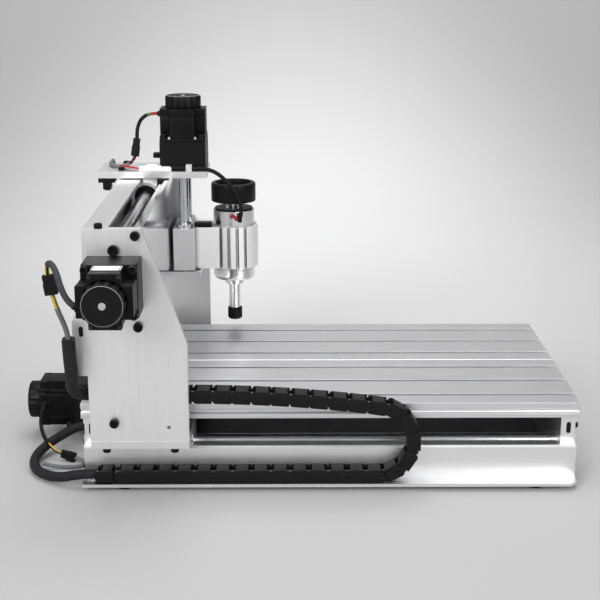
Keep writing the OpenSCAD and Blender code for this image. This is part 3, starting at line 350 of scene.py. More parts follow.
def smooth_path(points, step):
    """A smooth line through the points, with its own points about step apart."""
    points = [Vector(p) for p in points]
    last = len(points) - 1
    line = []
    for i in range(last):
        a, b, c, d = points[max(i - 1, 0)], points[i], points[i + 1], points[min(i + 2, last)]
        count = max(2, round((c - b).length / step))
        for k in range(count):
            t = k / count
            line.append(0.5 * (
                2 * b + (c - a) * t + (2 * a - 5 * b + 4 * c - d) * t ** 2 + (3 * b - a - 3 * c + d) * t ** 3
            ))
    line.append(points[last])
    return line


def carried_frames(line):
    """Point, tangent and two side directions along a line, turned as little as possible."""
    side = None
    last = len(line) - 1
    for i, point in enumerate(line):
        tangent = (line[min(i + 1, last)] - line[max(i - 1, 0)]).normalized()
        if side is None:
            side = Z.cross(tangent) if abs(tangent.z) < 0.8 else X.cross(tangent)
        side = (side - side.dot(tangent) * tangent).normalized()
        yield point, tangent, side, tangent.cross(side)


class Build:
    """One piece, put together from shapes in one or more finishes."""

    def __init__(self, material):
        self.bm = bmesh.new()
        self.materials = []
        self.use(material)

    def use(self, material):
        if material not in self.materials:
            self.materials.append(material)
        self.index = self.materials.index(material)
        return self

    def join(self, part, matrix=Matrix(), bevel=0.0, segments=2):
        bmesh.ops.recalc_face_normals(part, faces=part.faces)
        if bevel:
            edges = [e for e in part.edges if len(e.link_faces) == 2 and e.calc_face_angle(0) > SHARP]
            bmesh.ops.bevel(part, geom=edges, offset=bevel, segments=segments, affect="EDGES",
                            profile=0.6, clamp_overlap=True)
        for face in part.faces:
            face.material_index = self.index
            face.smooth = True
        part.transform(matrix)
        scratch = bpy.data.meshes.new("scratch")
        part.to_mesh(scratch)
        part.free()
        self.bm.from_mesh(scratch)
        bpy.data.meshes.remove(scratch)
        return self

    def box(self, low, high, bevel=0.4, matrix=Matrix()):
        part = bmesh.new()
        low, high = Vector(low), Vector(high)
        size = high - low
        place = Matrix.Translation((low + high) / 2) @ Matrix.Diagonal((*size, 1))
        bmesh.ops.create_cube(part, size=1, matrix=place)
        return self.join(part, matrix, bevel)

    def prism(self, outline, z0, z1, bevel=0.4, matrix=Matrix()):
        part = bmesh.new()
        face = part.faces.new([part.verts.new((x, y, z0)) for x, y in outline])
        made = bmesh.ops.extrude_face_region(part, geom=[face])["geom"]
        moved = [v for v in made if isinstance(v, bmesh.types.BMVert)]
        bmesh.ops.translate(part, vec=(0, 0, z1 - z0), verts=moved)
        return self.join(part, matrix, bevel)

    def loft(self, rings, matrix=Matrix(), loop=False, caps=True):
        """A skin over rings that all have the same number of points."""
        part = bmesh.new()
        rows = [[part.verts.new(p) for p in ring] for ring in rings]
        pairs = list(zip(rows, rows[1:])) + ([(rows[-1], rows[0])] if loop else [])
        for a, b in pairs:
            for k in range(len(a)):
                m = (k + 1) % len(a)
                part.faces.new((a[k], a[m], b[m], b[k]))
        if caps and not loop:
            part.faces.new(rows[0])
            part.faces.new(rows[-1])
        return self.join(part, matrix)

    def lathe(self, profile, matrix=Matrix(), sides=48, loop=False, caps=True):
        return self.loft([circle(max(r, 0.01), z, sides) for r, z in profile], matrix, loop, caps)

    def tube(self, line, radius, sides=12):
        """A tube along a line. radius is a number, or a function of the run and the angle."""
        rings, run, before = [], 0.0, None
        for point, _, a, b in carried_frames(line):
            run += (point - before).length if before else 0
            before = point
            ring = []
            for k in range(sides):
                w = 2 * math.pi * k / sides
                r = radius(run, w) if callable(radius) else radius
                ring.append(point + r * (math.cos(w) * a + math.sin(w) * b))
            rings.append(ring)
        return self.loft(rings)

    def strands(self, line, materials, radius, spread, twist=0.0):
        """Several thin wires side by side along one line."""
        for n, material in enumerate(materials):
            self.use(material)
            wire, run, before = [], 0.0, None
            for point, _, a, b in carried_frames(line):
                run += (point - before).length if before else 0
                before = point
                w = 2 * math.pi * n / len(materials) + twist * run
                wire.append(point + spread * (math.cos(w) * a + math.sin(w) * b))
            self.tube(wire, radius, 8)
        return self

    def done(self, name, body=None, slot=None, replaces=()):
        mesh = bpy.data.meshes.new(name)
        self.bm.transform(TO_FRAME)
        self.bm.to_mesh(mesh)
        self.bm.free()
        for material in self.materials:
            mesh.materials.append(material)
        mesh.set_sharp_from_angle(angle=SHARP)
        piece = bpy.data.objects.new(name, mesh)
        bpy.context.scene.collection.objects.link(piece)
        if body:
            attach(piece, body)
        if replaces:
            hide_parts(*replaces)
        return piece


def dress(node, material, bevel=0.0, segments=2):
    """Gives a CAD node its finish and, where its edges are plain, a small round on them."""
    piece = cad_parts[node]
    mesh = piece.data
    mesh.materials.clear()
    mesh.materials.append(material)
    mesh.normals_split_custom_set([(0, 0, 0)] * len(mesh.loops))
    mesh.polygons.foreach_set("use_smooth", [True] * len(mesh.polygons))
    weld = piece.modifiers.new("weld", "WELD")
    weld.merge_threshold = 1e-6
    if bevel:
        rounds = piece.modifiers.new("rounds", "BEVEL")
        rounds.width = bevel * MM
        rounds.segments = segments
        rounds.limit_method = "ANGLE"
        rounds.angle_limit = SHARP
        rounds.harden_normals = False
    evened = piece.modifiers.new("evened", "WEIGHTED_NORMAL")
    evened.keep_sharp = False
    evened.weight = 100
    return piece


# ---------- Shared small parts ----------

def cap_screw(build, origin, axis, head, depth=5.0, sides=60):
    """A knurled socket cap screw whose head starts at origin and stands out along axis."""
    place = frame_along(origin, axis)
    r = head / 2
    socket = 0.3 * head

    def knurl(w):
        return r - 0.16 * (round(w * sides / (2 * math.pi)) % 2)

    def hexagon(w):
        part = math.pi / 3
        return socket * math.cos(part / 2) / math.cos(w % part - part / 2)

    build.loft([
        circle(r - 0.3, 0, sides), polar(knurl, 0.3, sides), polar(knurl, depth - 0.9, sides),
        circle(r - 0.1, depth - 0.6, sides), circle(r - 0.55, depth, sides),
        polar(lambda w: hexagon(w) + 0.35, depth, sides), polar(hexagon, depth - 0.35, sides),
        polar(hexagon, depth * 0.45, sides), circle(0.2, depth * 0.4, sides),
    ], place)


def rounded_square(half, corner, steps=5):
    """The outline of a square with round corners."""
    outline = []
    for turn in range(4):
        for k in range(steps + 1):
            w = math.pi / 2 * (turn + k / steps)
            cx = (half - corner) * (1 if turn in (0, 3) else -1)
            cy = (half - corner) * (1 if turn in (0, 1) else -1)
            outline.append((cx + corner * math.cos(w), cy + corner * math.sin(w)))
    return outline


# ---------- Cords ----------
# Routes in millimetres from the middle of the bed, with the gantry at rest

Z_LEAD = [
    (138, 204.2, 368), (138, 213, 368), (137, 222, 366), (136, 229, 360), (134, 233, 350),
    (133, 234, 338), (132, 235, 326), (131, 237, 316), (130, 242, 308.5), (129, 250, 304.5),
    (131, 259, 303.6), (138, 266, 303.6), (148, 270, 303.6), (158, 271, 303.6), (170, 271, 304),
    (177, 271, 303.2), (182, 271, 299.5), (184, 271, 293.5), (182, 271, 287.5), (177, 271, 284),
    (170, 271, 283.3), (150, 271, 283.3), (135, 271, 283.3), (120, 271, 283.3),
]
SPINDLE_LEAD = [
    (106, 189.5, 305), (106, 180, 305), (105, 171, 304.5), (105, 163, 304.5), (105, 154, 304.6),
    (105, 145, 303.2), (105, 135, 299.3), (105, 125, 291.5), (105, 116, 281.5), (105.5, 109.5, 271),
    (106, 105.5, 260), (106, 104.5, 250), (107.5, 105.5, 243), (109.5, 106.5, 239),
]
X_LEAD = [
    (-256, 249.7, 230), (-256.5, 255, 233.5), (-257, 260, 241), (-256, 264, 251),
    (-252, 267.5, 261), (-245, 272.5, 268), (-236, 277.5, 268), (-229, 281, 262.5),
    (-226, 281.5, 254), (-225, 280.5, 244), (-224.5, 278.5, 234), (-223.5, 276, 224),
    (-222, 273, 213), (-219, 270, 203), (-216, 268, 193.5), (-213, 267, 184),
]
GANTRY_LOOM_R = 7
GANTRY_LOOM = [
    (-213, 267, 184), (-211, 267, 171), (-208.5, 267, 158), (-205, 267, 145.5),
    (-199.5, 267.5, 133.5), (-191.5, 268, 123.5), (-182, 266, 116), (-173, 260.5, 111.2),
    (-167.8, 250.5, 108.9), (-166.8, 238, 108), (-166.8, 225, 108), (-166.8, 213.5, 108),
]
BASE_LOOM_R = 5.5
BASE_LOOM = [
    (-166, 253.5, 17), (-166, 263, 17), (-164, 277, 14.5), (-158, 292, 10), (-149, 307, 7.5),
    (-136, 320, 6.2), (-120, 329, 6.2), (-101, 333, 6.5), (-84, 331, 8.5), (-70, 323, 13),
    (-60, 310, 19), (-53, 296, 25), (-50, 282, 28), (-50, 271, 28), (-50, 262, 28),
]
Y_LEAD = [
    (-28.2, 333, 46), (-36, 333, 46), (-45, 334, 41.5), (-54, 334, 33), (-65, 330, 24),
    (-75, 323, 17), (-83, 314, 11), (-87, 305, 8), (-90, 297, 6), (-92.2, 289, 4.6),
    (-93.4, 284, 3.8), (-96.5, 279, 3.2), (-103, 276, 2.8), (-109.5, 279, 2.8), (-112.6, 284.5, 2.8),
    (-113.4, 290, 2.8), (-113.5, 300, 3), (-113, 310, 4), (-112, 322, 6.5),
]


def part_of(line, start, end):
    """The stretch of a line between two shares of its length."""
    last = len(line) - 1
    return line[round(start * last):round(end * last) + 1]


def ribbed(radius, pitch=1.6, depth=0.22):
    return lambda run, w: radius - depth * (0.5 + 0.5 * math.cos(2 * math.pi * run / pitch)) + depth / 2


def wrapped(radius, pitch=13.0, gap=0.09, depth=0.8):
    """The radius of a spiral wrap, with a narrow gap that winds along it."""
    def shape(run, w):
        share = (run / pitch + w / (2 * math.pi)) % 1
        edge = min(share, 1 - share)
        return radius - (depth if edge < gap / 2 else 0) + 0.15 * math.cos(2 * math.pi * run / 3.1)
    return shape


def inline_plug(name, body, slot, node, route, index, width, thick):
    """Two halves of a latched wire connector with a row of wire holes at each end, drawn as small dark
    blocks of painted shade.
    """
    a, b = Vector(route[index]), Vector(route[index + 2])
    long = (b - a).length
    place = frame_along(a, b - a, X)
    w, t = width / 2 - 0.6, thick / 2 - 0.6
    build = Build(CHAIN)
    build.box((-w + 0.7, -t + 0.6, 0), (w - 0.7, t - 0.6, long * 0.48), 0.5, place)
    build.box((-w, -t, long * 0.42), (w, t, long), 0.6, place)
    build.box((-w, -t - 0.2, long * 0.86), (w, t + 0.2, long * 0.95), 0.3, place)
    build.box((-1.6, t - 0.2, long * 0.15), (1.6, t + 0.6, long * 0.62), 0.3, place)
    for k in (-1, 1):
        build.box((k * w * 0.6 - 0.3, -t - 0.15, long * 0.5), (k * w * 0.6 + 0.3, t + 0.15, long * 0.8), 0.1,
                  place)
    # dark blocks at each end: painted shade standing for the wire holes
    build.use(HOLLOW_SHADE)
    for k in (-1.5, -0.5, 0.5, 1.5):
        for z0, z1 in ((-0.15, 0.5), (long - 0.5, long + 0.15)):
            x = k * w / 2
            build.box((x - 0.8, -1.2, z0), (x + 0.8, 1.2, z1), 0.1, place)
    return build.done(name, body, slot, [node])



def z_motor_cord():
    line = smooth_path(Z_LEAD, 1.2)
    build = Build(JACKET)
    build.strands(part_of(line, 0, 0.09), [RED, BOOT, YELLOW, RED], 0.75, 1.1)
    build.use(GREEN).tube(part_of(line, 0.055, 0.08), 2.1, 12)
    build.use(JACKET).tube(part_of(line, 0.075, 0.235), 2.3, 12)
    build.strands(part_of(line, 0.22, 0.27), [BOOT, YELLOW, JACKET, RED], 0.75, 1.2)
    build.strands(part_of(line, 0.26, 0.38), [BOOT, JACKET, BOOT, JACKET], 0.75, 1.3, 0.12)
    build.use(GREY).tube(part_of(line, 0.37, 1.0), 2.3, 12)
    lead = build.done("z_motor_cable", "x_carriage", "cable_grey", ["z_motor_lead"])
    plug = inline_plug("z_cable_plug", "x_carriage", "chain_plastic", "z_lead_plug", Z_LEAD, 5, 11, 8)


def spindle_cord():
    line = smooth_path(SPINDLE_LEAD, 2)
    build = Build(JACKET)
    build.tube(line, 2.5, 14)
    lead = build.done("spindle_cable", None, "loom_black", ["spindle_lead"])
    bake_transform(lead)


def x_motor_cord():
    line = smooth_path(X_LEAD, 0.55)
    build = Build(BRAID)
    build.strands(part_of(line, 0, 0.05), [RED, JACKET, RED, GREY], 0.9, 1.4)
    build.use(BRAID).tube(part_of(line, 0.02, 0.42), ribbed(3.1), 14)
    build.strands(part_of(line, 0.40, 0.53), [YELLOW, GREEN, YELLOW, JACKET], 0.85, 1.6)
    build.strands(part_of(line, 0.52, 0.76), [YELLOW, RED, GREY, YELLOW], 0.85, 1.5)
    build.use(GREY).tube(part_of(line, 0.75, 1.0), 2.7, 14)
    lead = build.done("x_motor_cable", "gantry", "cable_grey", ["x_motor_lead"])
    plug = inline_plug("x_cable_plug", "gantry", "chain_plastic", "x_lead_plug", X_LEAD, 8, 14, 9)


def loom(name, body, node, route, radius, step=0.9):
    line = smooth_path(route, step)
    build = Build(LOOM)
    build.tube(line, wrapped(radius - 0.1), 28)
    piece = build.done(name, body, "loom_black", [node])


def y_motor_cord():
    line = smooth_path(Y_LEAD, 1.2)
    build = Build(JACKET)
    build.tube(part_of(line, 0.02, 0.36), 2.2, 12)
    build.strands(part_of(line, 0, 0.05), [RED, JACKET, BOOT], 0.75, 1.0)
    build.strands(part_of(line, 0.34, 0.55), [RED, YELLOW, JACKET, RED], 0.7, 1.2)
    build.use(GREY).tube(part_of(line, 0.53, 1.0), 2.1, 12)
    lead = build.done("y_motor_cable", "base", "cable_grey", ["y_motor_lead"])
    plug = inline_plug("y_cable_plug", "base", "chain_plastic", "y_lead_plug", Y_LEAD, 7, 11, 8)


# ---------- Cable chain ----------

LINK_PITCH = 20.6
LINK_W = 20
LINK_H = 15
BAR_HALF = 6.6
BEND_STEPS = 60
LEVEL_END = 62
# Finish, distance from the middle and radius of each wire inside the chain
CHAIN_WIRES = ((GREY, 4, 2.4), (JACKET, -2, 2.9))


def chain_line():
    """The middle of the chain as points (y, z), from the fixed end round the bend to the gantry."""
    lower_low, lower_high = span("chain_lower")
    bend_low, bend_high = span("chain_bend")
    upper_high = span("chain_upper")[1]
    z0 = (lower_low.z + lower_high.z) / 2
    radius = (bend_high.z - bend_low.z - LINK_H) / 2
    turn_y = bend_high.y
    end_z = upper_high.z - LINK_H / 2
    top = z0 + 2 * radius
    line = [(lower_high.y - k, z0) for k in range(int(lower_high.y - turn_y))]
    for k in range(BEND_STEPS + 1):
        w = math.pi * k / BEND_STEPS
        line.append((turn_y - radius * math.sin(w), z0 + radius - radius * math.cos(w)))
    run = upper_high.y - turn_y
    level = run - LEVEL_END
    for k in range(1, int(run) + 1):
        t = min(1.0, k / level)
        line.append((turn_y + k, top + (end_z - top) * t * (2 - t)))
    return line, turn_y, upper_high.y, lower_high.y


def chain_link(build, place):
    """One link: two cheeks that overlap the next link, two bars, and windows between them."""
    h = LINK_H / 2 - 0.1
    p = LINK_PITCH
    tip = p / 2 - 1.5
    ends = [math.pi * k / 8 for k in range(1, 8)]
    cheek = [(-p / 2 + 1.0, -h + 0.5), (-p / 2 + 2.4, -h), (tip - 1, -h)]
    cheek += [(tip - 1 + 4.2 * math.sin(w), -h * math.cos(w)) for w in ends]
    cheek += [(tip - 1, h), (-p / 2 + 1.0, h)]
    tongue = [(-p / 2 - 3.2, -h + 2.4), (0, -h + 2.4), (0, h - 2.4), (-p / 2 - 3.2, h - 2.4)]
    across = place @ Matrix.Rotation(math.radians(90), 4, "X")
    for side in (-1, 1):
        outer = side * (LINK_W / 2 - 0.1)
        inner = side * (LINK_W / 2 - 1.5)
        build.prism(cheek, min(-outer, -inner), max(-outer, -inner), 0.35, across)
        deep = side * (LINK_W / 2 - 2.7)
        build.prism(tongue, min(-inner, -deep), max(-inner, -deep), 0.2, across)
        pin = frame_along(place @ Vector((tip - 2, side * (LINK_W / 2 - 0.2), 0)),
                          place.to_3x3() @ (side * Y))
        build.lathe([(3.0, -0.6), (3.0, 0.1), (2.7, 0.35), (1.2, 0.35), (0.8, 0.1)], pin, 20)
    for face in (-1, 1):
        bar = [(-BAR_HALF, -9.6, face * h - (1.6 if face > 0 else 0)),
               (BAR_HALF, 9.6, face * h + (0 if face > 0 else 1.6))]
        build.use(BARS).box(bar[0], bar[1], 0.45, place)
    build.use(CHAIN)


def cable_chain():
    line, turn_y, upper_end, lower_end = chain_line()
    points = [Vector((middle("chain_lower").x, y, z)) for y, z in line]
    runs = [0.0]
    for a, b in zip(points, points[1:]):
        runs.append(runs[-1] + (b - a).length)
    count = int(runs[-1] / LINK_PITCH)
    spare = (runs[-1] - count * LINK_PITCH) / 2
    builds = {key: Build(CHAIN) for key in ("lower", "bend", "upper")}
    first, last = points[0], points[-1]
    halfway = (first.z + last.z) / 2
    along = 0
    for n in range(count):
        run = spare + (n + 0.5) * LINK_PITCH
        while runs[along + 1] < run:
            along += 1
        here = points[along]
        tangent = (points[min(along + 6, len(points) - 1)] - points[max(along - 6, 0)]).normalized()
        outward = Vector((0, -tangent.z, tangent.y))
        place = Matrix((tangent, outward.cross(tangent), outward)).transposed().to_4x4()
        place.translation = here
        if here.y < turn_y - 1:
            where = "bend"
        else:
            where = "upper" if here.z > halfway else "lower"
        chain_link(builds[where], place)
    straight = int(lower_end - turn_y)
    for key, stretch, wires in (
        ("lower", points[:straight:4], CHAIN_WIRES),
        ("bend", points[straight:straight + BEND_STEPS + 2:4], CHAIN_WIRES[:1]),
        ("upper", points[straight + BEND_STEPS + 1::4], CHAIN_WIRES),
    ):
        for material, offset, radius in wires:
            builds[key].use(material).tube([p + offset * X for p in stretch], radius, 8)
    lower = builds["lower"].done("chain_lower_links", None, "chain_plastic", ["chain_lower"])
    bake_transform(lower)
    builds["bend"].done("chain_bend_links", "chain_bend", "chain_plastic", ["chain_bend"])
    upper = builds["upper"].done("chain_upper_links", "gantry", "chain_plastic", ["chain_upper"])
    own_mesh(upper)


def chain_brackets():
    """The end pieces that hold the chain: one on the beam's flange, one on the gantry's plate."""
    low, high = span("chain_anchor")
    build = Build(CHAIN)
    build.box((low.x, low.y, low.z), (high.x, high.y, low.z + 2.6), 0.5)
    cheek = [(low.y, 0), (high.y - 5, 0)]
    bends = [math.pi * k / 8 for k in range(1, 9)]
    cheek += [(high.y - 5 + 5 * math.sin(w), 7.3 - 7.3 * math.cos(w)) for w in bends]
    cheek += [(low.y, 14.6)]
    upright = Matrix(((0, 0, 1, 0), (1, 0, 0, 0), (0, 1, 0, low.z + 0.4), (0, 0, 0, 1)))
    for x in (low.x, high.x - 2.2):
        build.prism(cheek, x, x + 2.2, 0.4, upright)
    build.box((low.x + 1, low.y + 2, low.z + 13), (high.x - 1, low.y + 12, low.z + 15), 0.5)
    for x in (low.x + 6, high.x - 6):
        cap_screw(build.use(OXIDE), (x, (low.y + high.y) / 2 + 2, low.z + 2.4), Z, 6, 3)
    build.done("chain_fixed_end", "base", "chain_plastic", ["chain_anchor"])
    upper_low, upper_high = span("chain_upper")
    top = upper_high.z
    plate = span("left_side_plate")[1].x
    build = Build(CHAIN)
    build.box((plate, upper_high.y - 17, top - 14), (upper_low.x + 1, upper_high.y, top - 1), 0.4)
    build.box((upper_low.x, upper_high.y - 3, top - 14.6), (upper_high.x, upper_high.y, top - 12.6), 0.3)
    build.done("chain_moving_end", "gantry", "chain_plastic")


# ---------- Motors, housings and knobs ----------

MOTOR_HALF = 28.2
MOTOR_NOTCH = 11.7
MOTOR_SCREW = 23.5


def cross_outline(half, notch, corner):
    """A square with its corners cut away in steps."""
    arm = half - notch
    quarter = [(half, -arm + corner), (half, arm - corner), (half - corner, arm), (arm + 2.2, arm),
               (arm, arm + 2.2), (arm, half - corner), (arm - corner, half)]
    outline = []
    for turn in range(4):
        c, s = math.cos(turn * math.pi / 2), math.sin(turn * math.pi / 2)
        outline += [(c * x - s * y, s * x + c * y) for x, y in quarter[1:]]
    return outline


def motor(name, body, node, place, length=41):
    """A square stepper motor: flange, stack, rear cap, four mounting screws, and four small rear screws."""
    build = Build(MOTOR)
    build.prism(rounded_square(MOTOR_HALF, 4.2), 0, 4.8, 0.5, place)
    build.prism(cross_outline(MOTOR_HALF - 0.9, MOTOR_NOTCH + 0.6, 0.8), 4.7, 9.5, 0.4, place)
    build.use(STACK)
    build.prism(cross_outline(MOTOR_HALF - 0.4, MOTOR_NOTCH + 0.9, 0.6), 9.4, 31.8, 0.25, place)
    for turn in range(4):
        rib = place @ Matrix.Rotation(math.pi / 2 * turn, 4, "Z")
        for side in (-1, 1):
            x = side * (MOTOR_HALF - MOTOR_NOTCH - 3.2)
            build.box((x - 0.7, MOTOR_HALF - 1.0, 9.2), (x + 0.7, MOTOR_HALF - 0.2, 32), 0.25, rib)
    build.use(MOTOR)
    build.prism(cross_outline(MOTOR_HALF - 0.2, MOTOR_NOTCH, 0.9), 32, length, 0.9, place)
    build.lathe([(22.9, length - 0.4), (22.9, length - 0.1), (22.5, length), (5, length)], place, 64)
    for turn in range(4):
        w = math.pi / 4 + turn * math.pi / 2
        spot = place @ Vector((MOTOR_SCREW * math.sqrt(2) * math.cos(w),
                               MOTOR_SCREW * math.sqrt(2) * math.sin(w), 4.8))
        cap_screw(build.use(OXIDE), spot, place.to_3x3() @ Z, 8.6, 5)
    for sx in (-1, 1):
        for sy in (-1, 1):
            spot = place @ Vector((sx * 14.2, sy * 25.2, length - 1.4))
            cap_screw(build.use(SCREW), spot, place.to_3x3() @ Z, 3.8, 1.5, 24)
    return build.done(name, body, "motor_black", [node])


def knob(name, body, node, place, length=14.9, radius=22, flutes=14):
    """A fluted hand knob, its outer face sunk a little inside a rim, with a grey ring painted on as the
    highlight along the rim.
    """
    sides = flutes * 10

    def fluted(outer, depth):
        def shape(w):
            share = (w * flutes / (2 * math.pi)) % 1
            dip = max(0.0, 1 - (abs(share - 0.5) / 0.24) ** 2)
            return outer - depth * math.sqrt(dip)
        return shape

    build = Build(KNOB)
    build.loft([
        circle(4.1, 0.6, sides), circle(radius - 4, 0.6, sides), circle(radius - 4, 0.05, sides),
        polar(fluted(radius - 0.9, 0.6), 0.05, sides), polar(fluted(radius, 1.2), 0.9, sides),
        polar(fluted(radius, 1.2), length - 1.7, sides),
        polar(fluted(radius - 0.5, 1.0), length - 0.8, sides),
        circle(radius - 1.9, length - 0.35, sides), circle(radius - 2.3, length, sides),
        circle(radius - 2.8, length, sides), circle(radius - 3.2, length - 0.6, sides),
        circle(7.4, length - 0.6, sides),
        circle(7.0, length - 0.1, sides), circle(4.4, length - 0.1, sides), circle(4.1, length - 0.5, sides),
    ], place, loop=True)
    # grey ring on the rim: painted highlight
    build.use(RIM_HIGHLIGHT)
    build.lathe([(radius - 2.6, length - 0.3), (radius - 2.2, length + 0.04), (radius - 1.8, length - 0.3)],
                place, 96, loop=True)
    return build.done(name, body, "knob_plastic", [node])


def drives():
    """The motor and knob at the end of each lead screw."""
    y_axis = middle("y_knob")
    x_axis = middle("x_knob")
    z_axis = middle("z_knob")
    rear = span("y_housing")[1].y
    left = span("x_housing")[0].x
    top = span("z_housing")[1].z
    knob_start = {"y": span("y_knob")[0].y, "x": span("x_knob")[1].x, "z": span("z_knob")[0].z}
    motor("y_motor_case", "base", "y_motor", frame_along((y_axis.x, rear, y_axis.z), Y))
    motor("x_motor_case", "gantry", "x_motor", frame_along((left, x_axis.y, x_axis.z), -X))
    motor("z_motor_case", "x_carriage", "z_motor", frame_along((z_axis.x, z_axis.y, top), Z, Y))
    knob("y_hand_knob", "y_screw", "y_knob", frame_along((y_axis.x, knob_start["y"], y_axis.z), Y))
    knob("x_hand_knob", "x_screw", "x_knob", frame_along((knob_start["x"], x_axis.y, x_axis.z), -X))
    knob("z_hand_knob", "z_screw", "z_knob", frame_along((z_axis.x, z_axis.y, knob_start["z"]), Z, Y))
    # blank labels on the motors' sides
    inner, outer = MOTOR_HALF - 0.45, MOTOR_HALF - 0.2
    for name, body, low, high in (
        ("x_motor_label", "gantry", (left - 25, x_axis.y - 14.5, x_axis.z + inner),
         (left - 8, x_axis.y + 14.5, x_axis.z + outer)),
        ("y_motor_label", "base", (y_axis.x + inner, rear + 12, y_axis.z - 14),
         (y_axis.x + outer, rear + 30, y_axis.z + 14)),
    ):
        build = Build(LABEL)
        build.box(low, high, 0.08)
        build.done(name, body, "white_plastic")
    # rubber boots where the leads leave the motors
    for name, body, spot, axis in (
        ("z_motor_boot", "x_carriage", Z_LEAD[0], Y),
        ("x_motor_boot", "gantry", X_LEAD[0], Y),
        ("y_motor_boot", "base", Y_LEAD[0], -X),
    ):
        place = frame_along(Vector(spot) - 0.6 * Vector(axis), axis)
        build = Build(JACKET)
        build.box((-6, -4.2, -1), (6, 4.2, 1.6), 0.8, place)
        build.lathe([(3.6, 1), (3.4, 3.2), (2.7, 4.6), (2.3, 5.2)], place, 20)
        build.done(name, body, "motor_black")
    build = Build(MOTOR)
    build.box((z_axis.x - 20, z_axis.y + 27.5, top - 19.5), (z_axis.x - 8, z_axis.y + 37, top - 13.5), 0.8)
    build.done("z_housing_plug", "x_carriage", "motor_black")
    build = Build(SCREW)
    for sy in (-1, 1):
        build.lathe([(1.7, -0.4), (1.7, 0.5), (1.3, 0.8), (0.3, 0.5)],
                    frame_along((z_axis.x - 27.6, z_axis.y + sy * 16, top + 6.2), -X), 20)
    build.done("z_motor_studs", "x_carriage", "screw_steel")
    for node in ("y_housing", "x_housing", "z_housing"):
        dress(node, ANODISED, 0.5)


# ---------- Lead screws ----------

def threaded(build, place, start, end, radius, pitch, depth, sides=24, per_turn=10):
    """A helical thread between two heights of the local Z axis."""
    count = int((end - start) / pitch * per_turn)
    rings = []
    for k in range(count + 1):
        z = start + (end - start) * k / count
        fade = min(1.0, (z - start) / pitch, (end - z) / pitch)

        def shape(w):
            share = (z / pitch - w / (2 * math.pi)) % 1
            wave = min(1.0, max(0.0, 2.2 * abs(share - 0.5) * 2 - 0.6))
            return radius - depth * fade * (1 - wave)
        rings.append(polar(shape, z, sides))
    build.loft(rings, place)


def lead_screw(name, body, node, origin, axis, total, thread, radius, free):
    """A screw with its free journal, its thread, the coupling and the motor's shaft."""
    place = frame_along(origin, axis)
    build = Build(SCREW)
    start, end, coupling = thread
    build.lathe([(3.4, 0), (3.95, 0.6), (3.95, start)], place, 32)
    threaded(build, place, start, end, radius, free, 1.3)
    build.lathe([(3.95, end - 0.5), (3.95, coupling)], place, 32)
    build.use(ANODISED if radius > 5.5 else FRAME_Z)
    build.lathe([(3.9, coupling), (10.4, coupling), (11, coupling + 0.6), (11, coupling + 11.6),
                 (10.2, coupling + 12), (10.2, coupling + 13), (11, coupling + 13.4),
                 (11, coupling + 24.4), (10.4, coupling + 25), (3.9, coupling + 25)], place, 48)
    build.use(GROUND)
    build.lathe([(3.97, coupling + 24.8), (3.97, total - 0.5), (3.6, total - 0.1), (0.8, total - 0.15),
                 (0.4, total - 0.6)], place, 32)
    return build.done(name, body, "screw_steel", [node])


def lead_screws():
    low, high = span("y_screw")
    axis = middle("y_screw")
    ends = (span("front_plate")[1].y, span("rear_plate")[0].y)
    after = span("y_housing")[0].y
    lead_screw("y_lead_screw", "y_screw", "y_screw", (axis.x, low.y, axis.z), Y, high.y - low.y,
               (ends[0] - low.y + 0.3, ends[1] - low.y - 0.3, after + 3.1 - low.y), 6, 5)
    low, high = span("x_screw")
    axis = middle("x_screw")
    ends = (span("right_side_plate")[0].x, span("left_side_plate")[1].x)
    after = span("x_housing")[1].x
    lead_screw("x_lead_screw", "x_screw", "x_screw", (high.x, axis.y, axis.z), -X, high.x - low.x,
               (high.x - ends[0] + 0.3, high.x - ends[1] - 0.3, high.x - after + 3.1), 6, 5)
    low, high = span("z_screw")
    axis = middle("z_screw")
    bottom = span("z_bottom_plate")[1].z
    after = span("z_housing")[0].z
    lead_screw("z_lead_screw", "z_screw", "z_screw", (axis.x, axis.y, low.z), Z, high.z - low.z,
               (bottom - low.z + 0.1, after - low.z, after + 3 - low.z), 5, 4)


# ---------- Frame ----------

def fasteners():
    """Cap screws on the end plates, on the gantry's side plates and under its floor."""
    shaft = middle("y_shafts")
    pitch = (span("y_shafts")[1].x - span("y_shafts")[0].x) / 2 - 8
    front, rear = span("front_plate")[0].y, span("rear_plate")[1].y
    build = Build(OXIDE)
    for sx in (-1, 1):
        cap_screw(build, (sx * pitch, front, shaft.z), -Y, 10)
        cap_screw(build, (sx * pitch, rear, shaft.z), Y, 10)
        for y, out in ((front, -Y), (rear, Y)):
            for z in (14.5, 61):
                cap_screw(build, (sx * 136, y, z), out, 7, 3)
    build.done("base_cap_screws", "base", "black_oxide", ["base_screws"])
    corner = span("right_side_plate")[1]
    back, out_x = corner.y, corner.x
    floor = span("gantry_floor")[0].z
    build = Build(OXIDE)
    rows = [(32, 270, 11.5), (32, 202, 11.5), (54.3, 285, 10), (54.3, 189.2, 10), (25.7, 84.1, 10)]
    for sx in (-1, 1):
        for u, z, head in rows:
            cap_screw(build, (sx * out_x, back - u, z), sx * X, head)
        cap_screw(build, (sx * (out_x - 5), back - 16.6, corner.z), Z, 8.5)
        for u in (15.7, 87.7):
            cap_screw(build, (sx * (out_x - 5), back - u, floor), -Z, 8.5)
    build.done("gantry_cap_screws", "gantry", "black_oxide", ["gantry_screws"])


def channel_shade_liner(build, end_x, y, z, half_w, half_h):
    """A dark sleeve of painted shade inside a channel that opens at end_x, set back a little from its mouth.
    """
    side = 1 if end_x > 0 else -1
    ends = sorted((end_x - side * 0.8, end_x - side * 18))
    build.box((ends[0], y - half_w, z - half_h), (ends[1], y + half_w, z + half_h), half_w - 0.2)


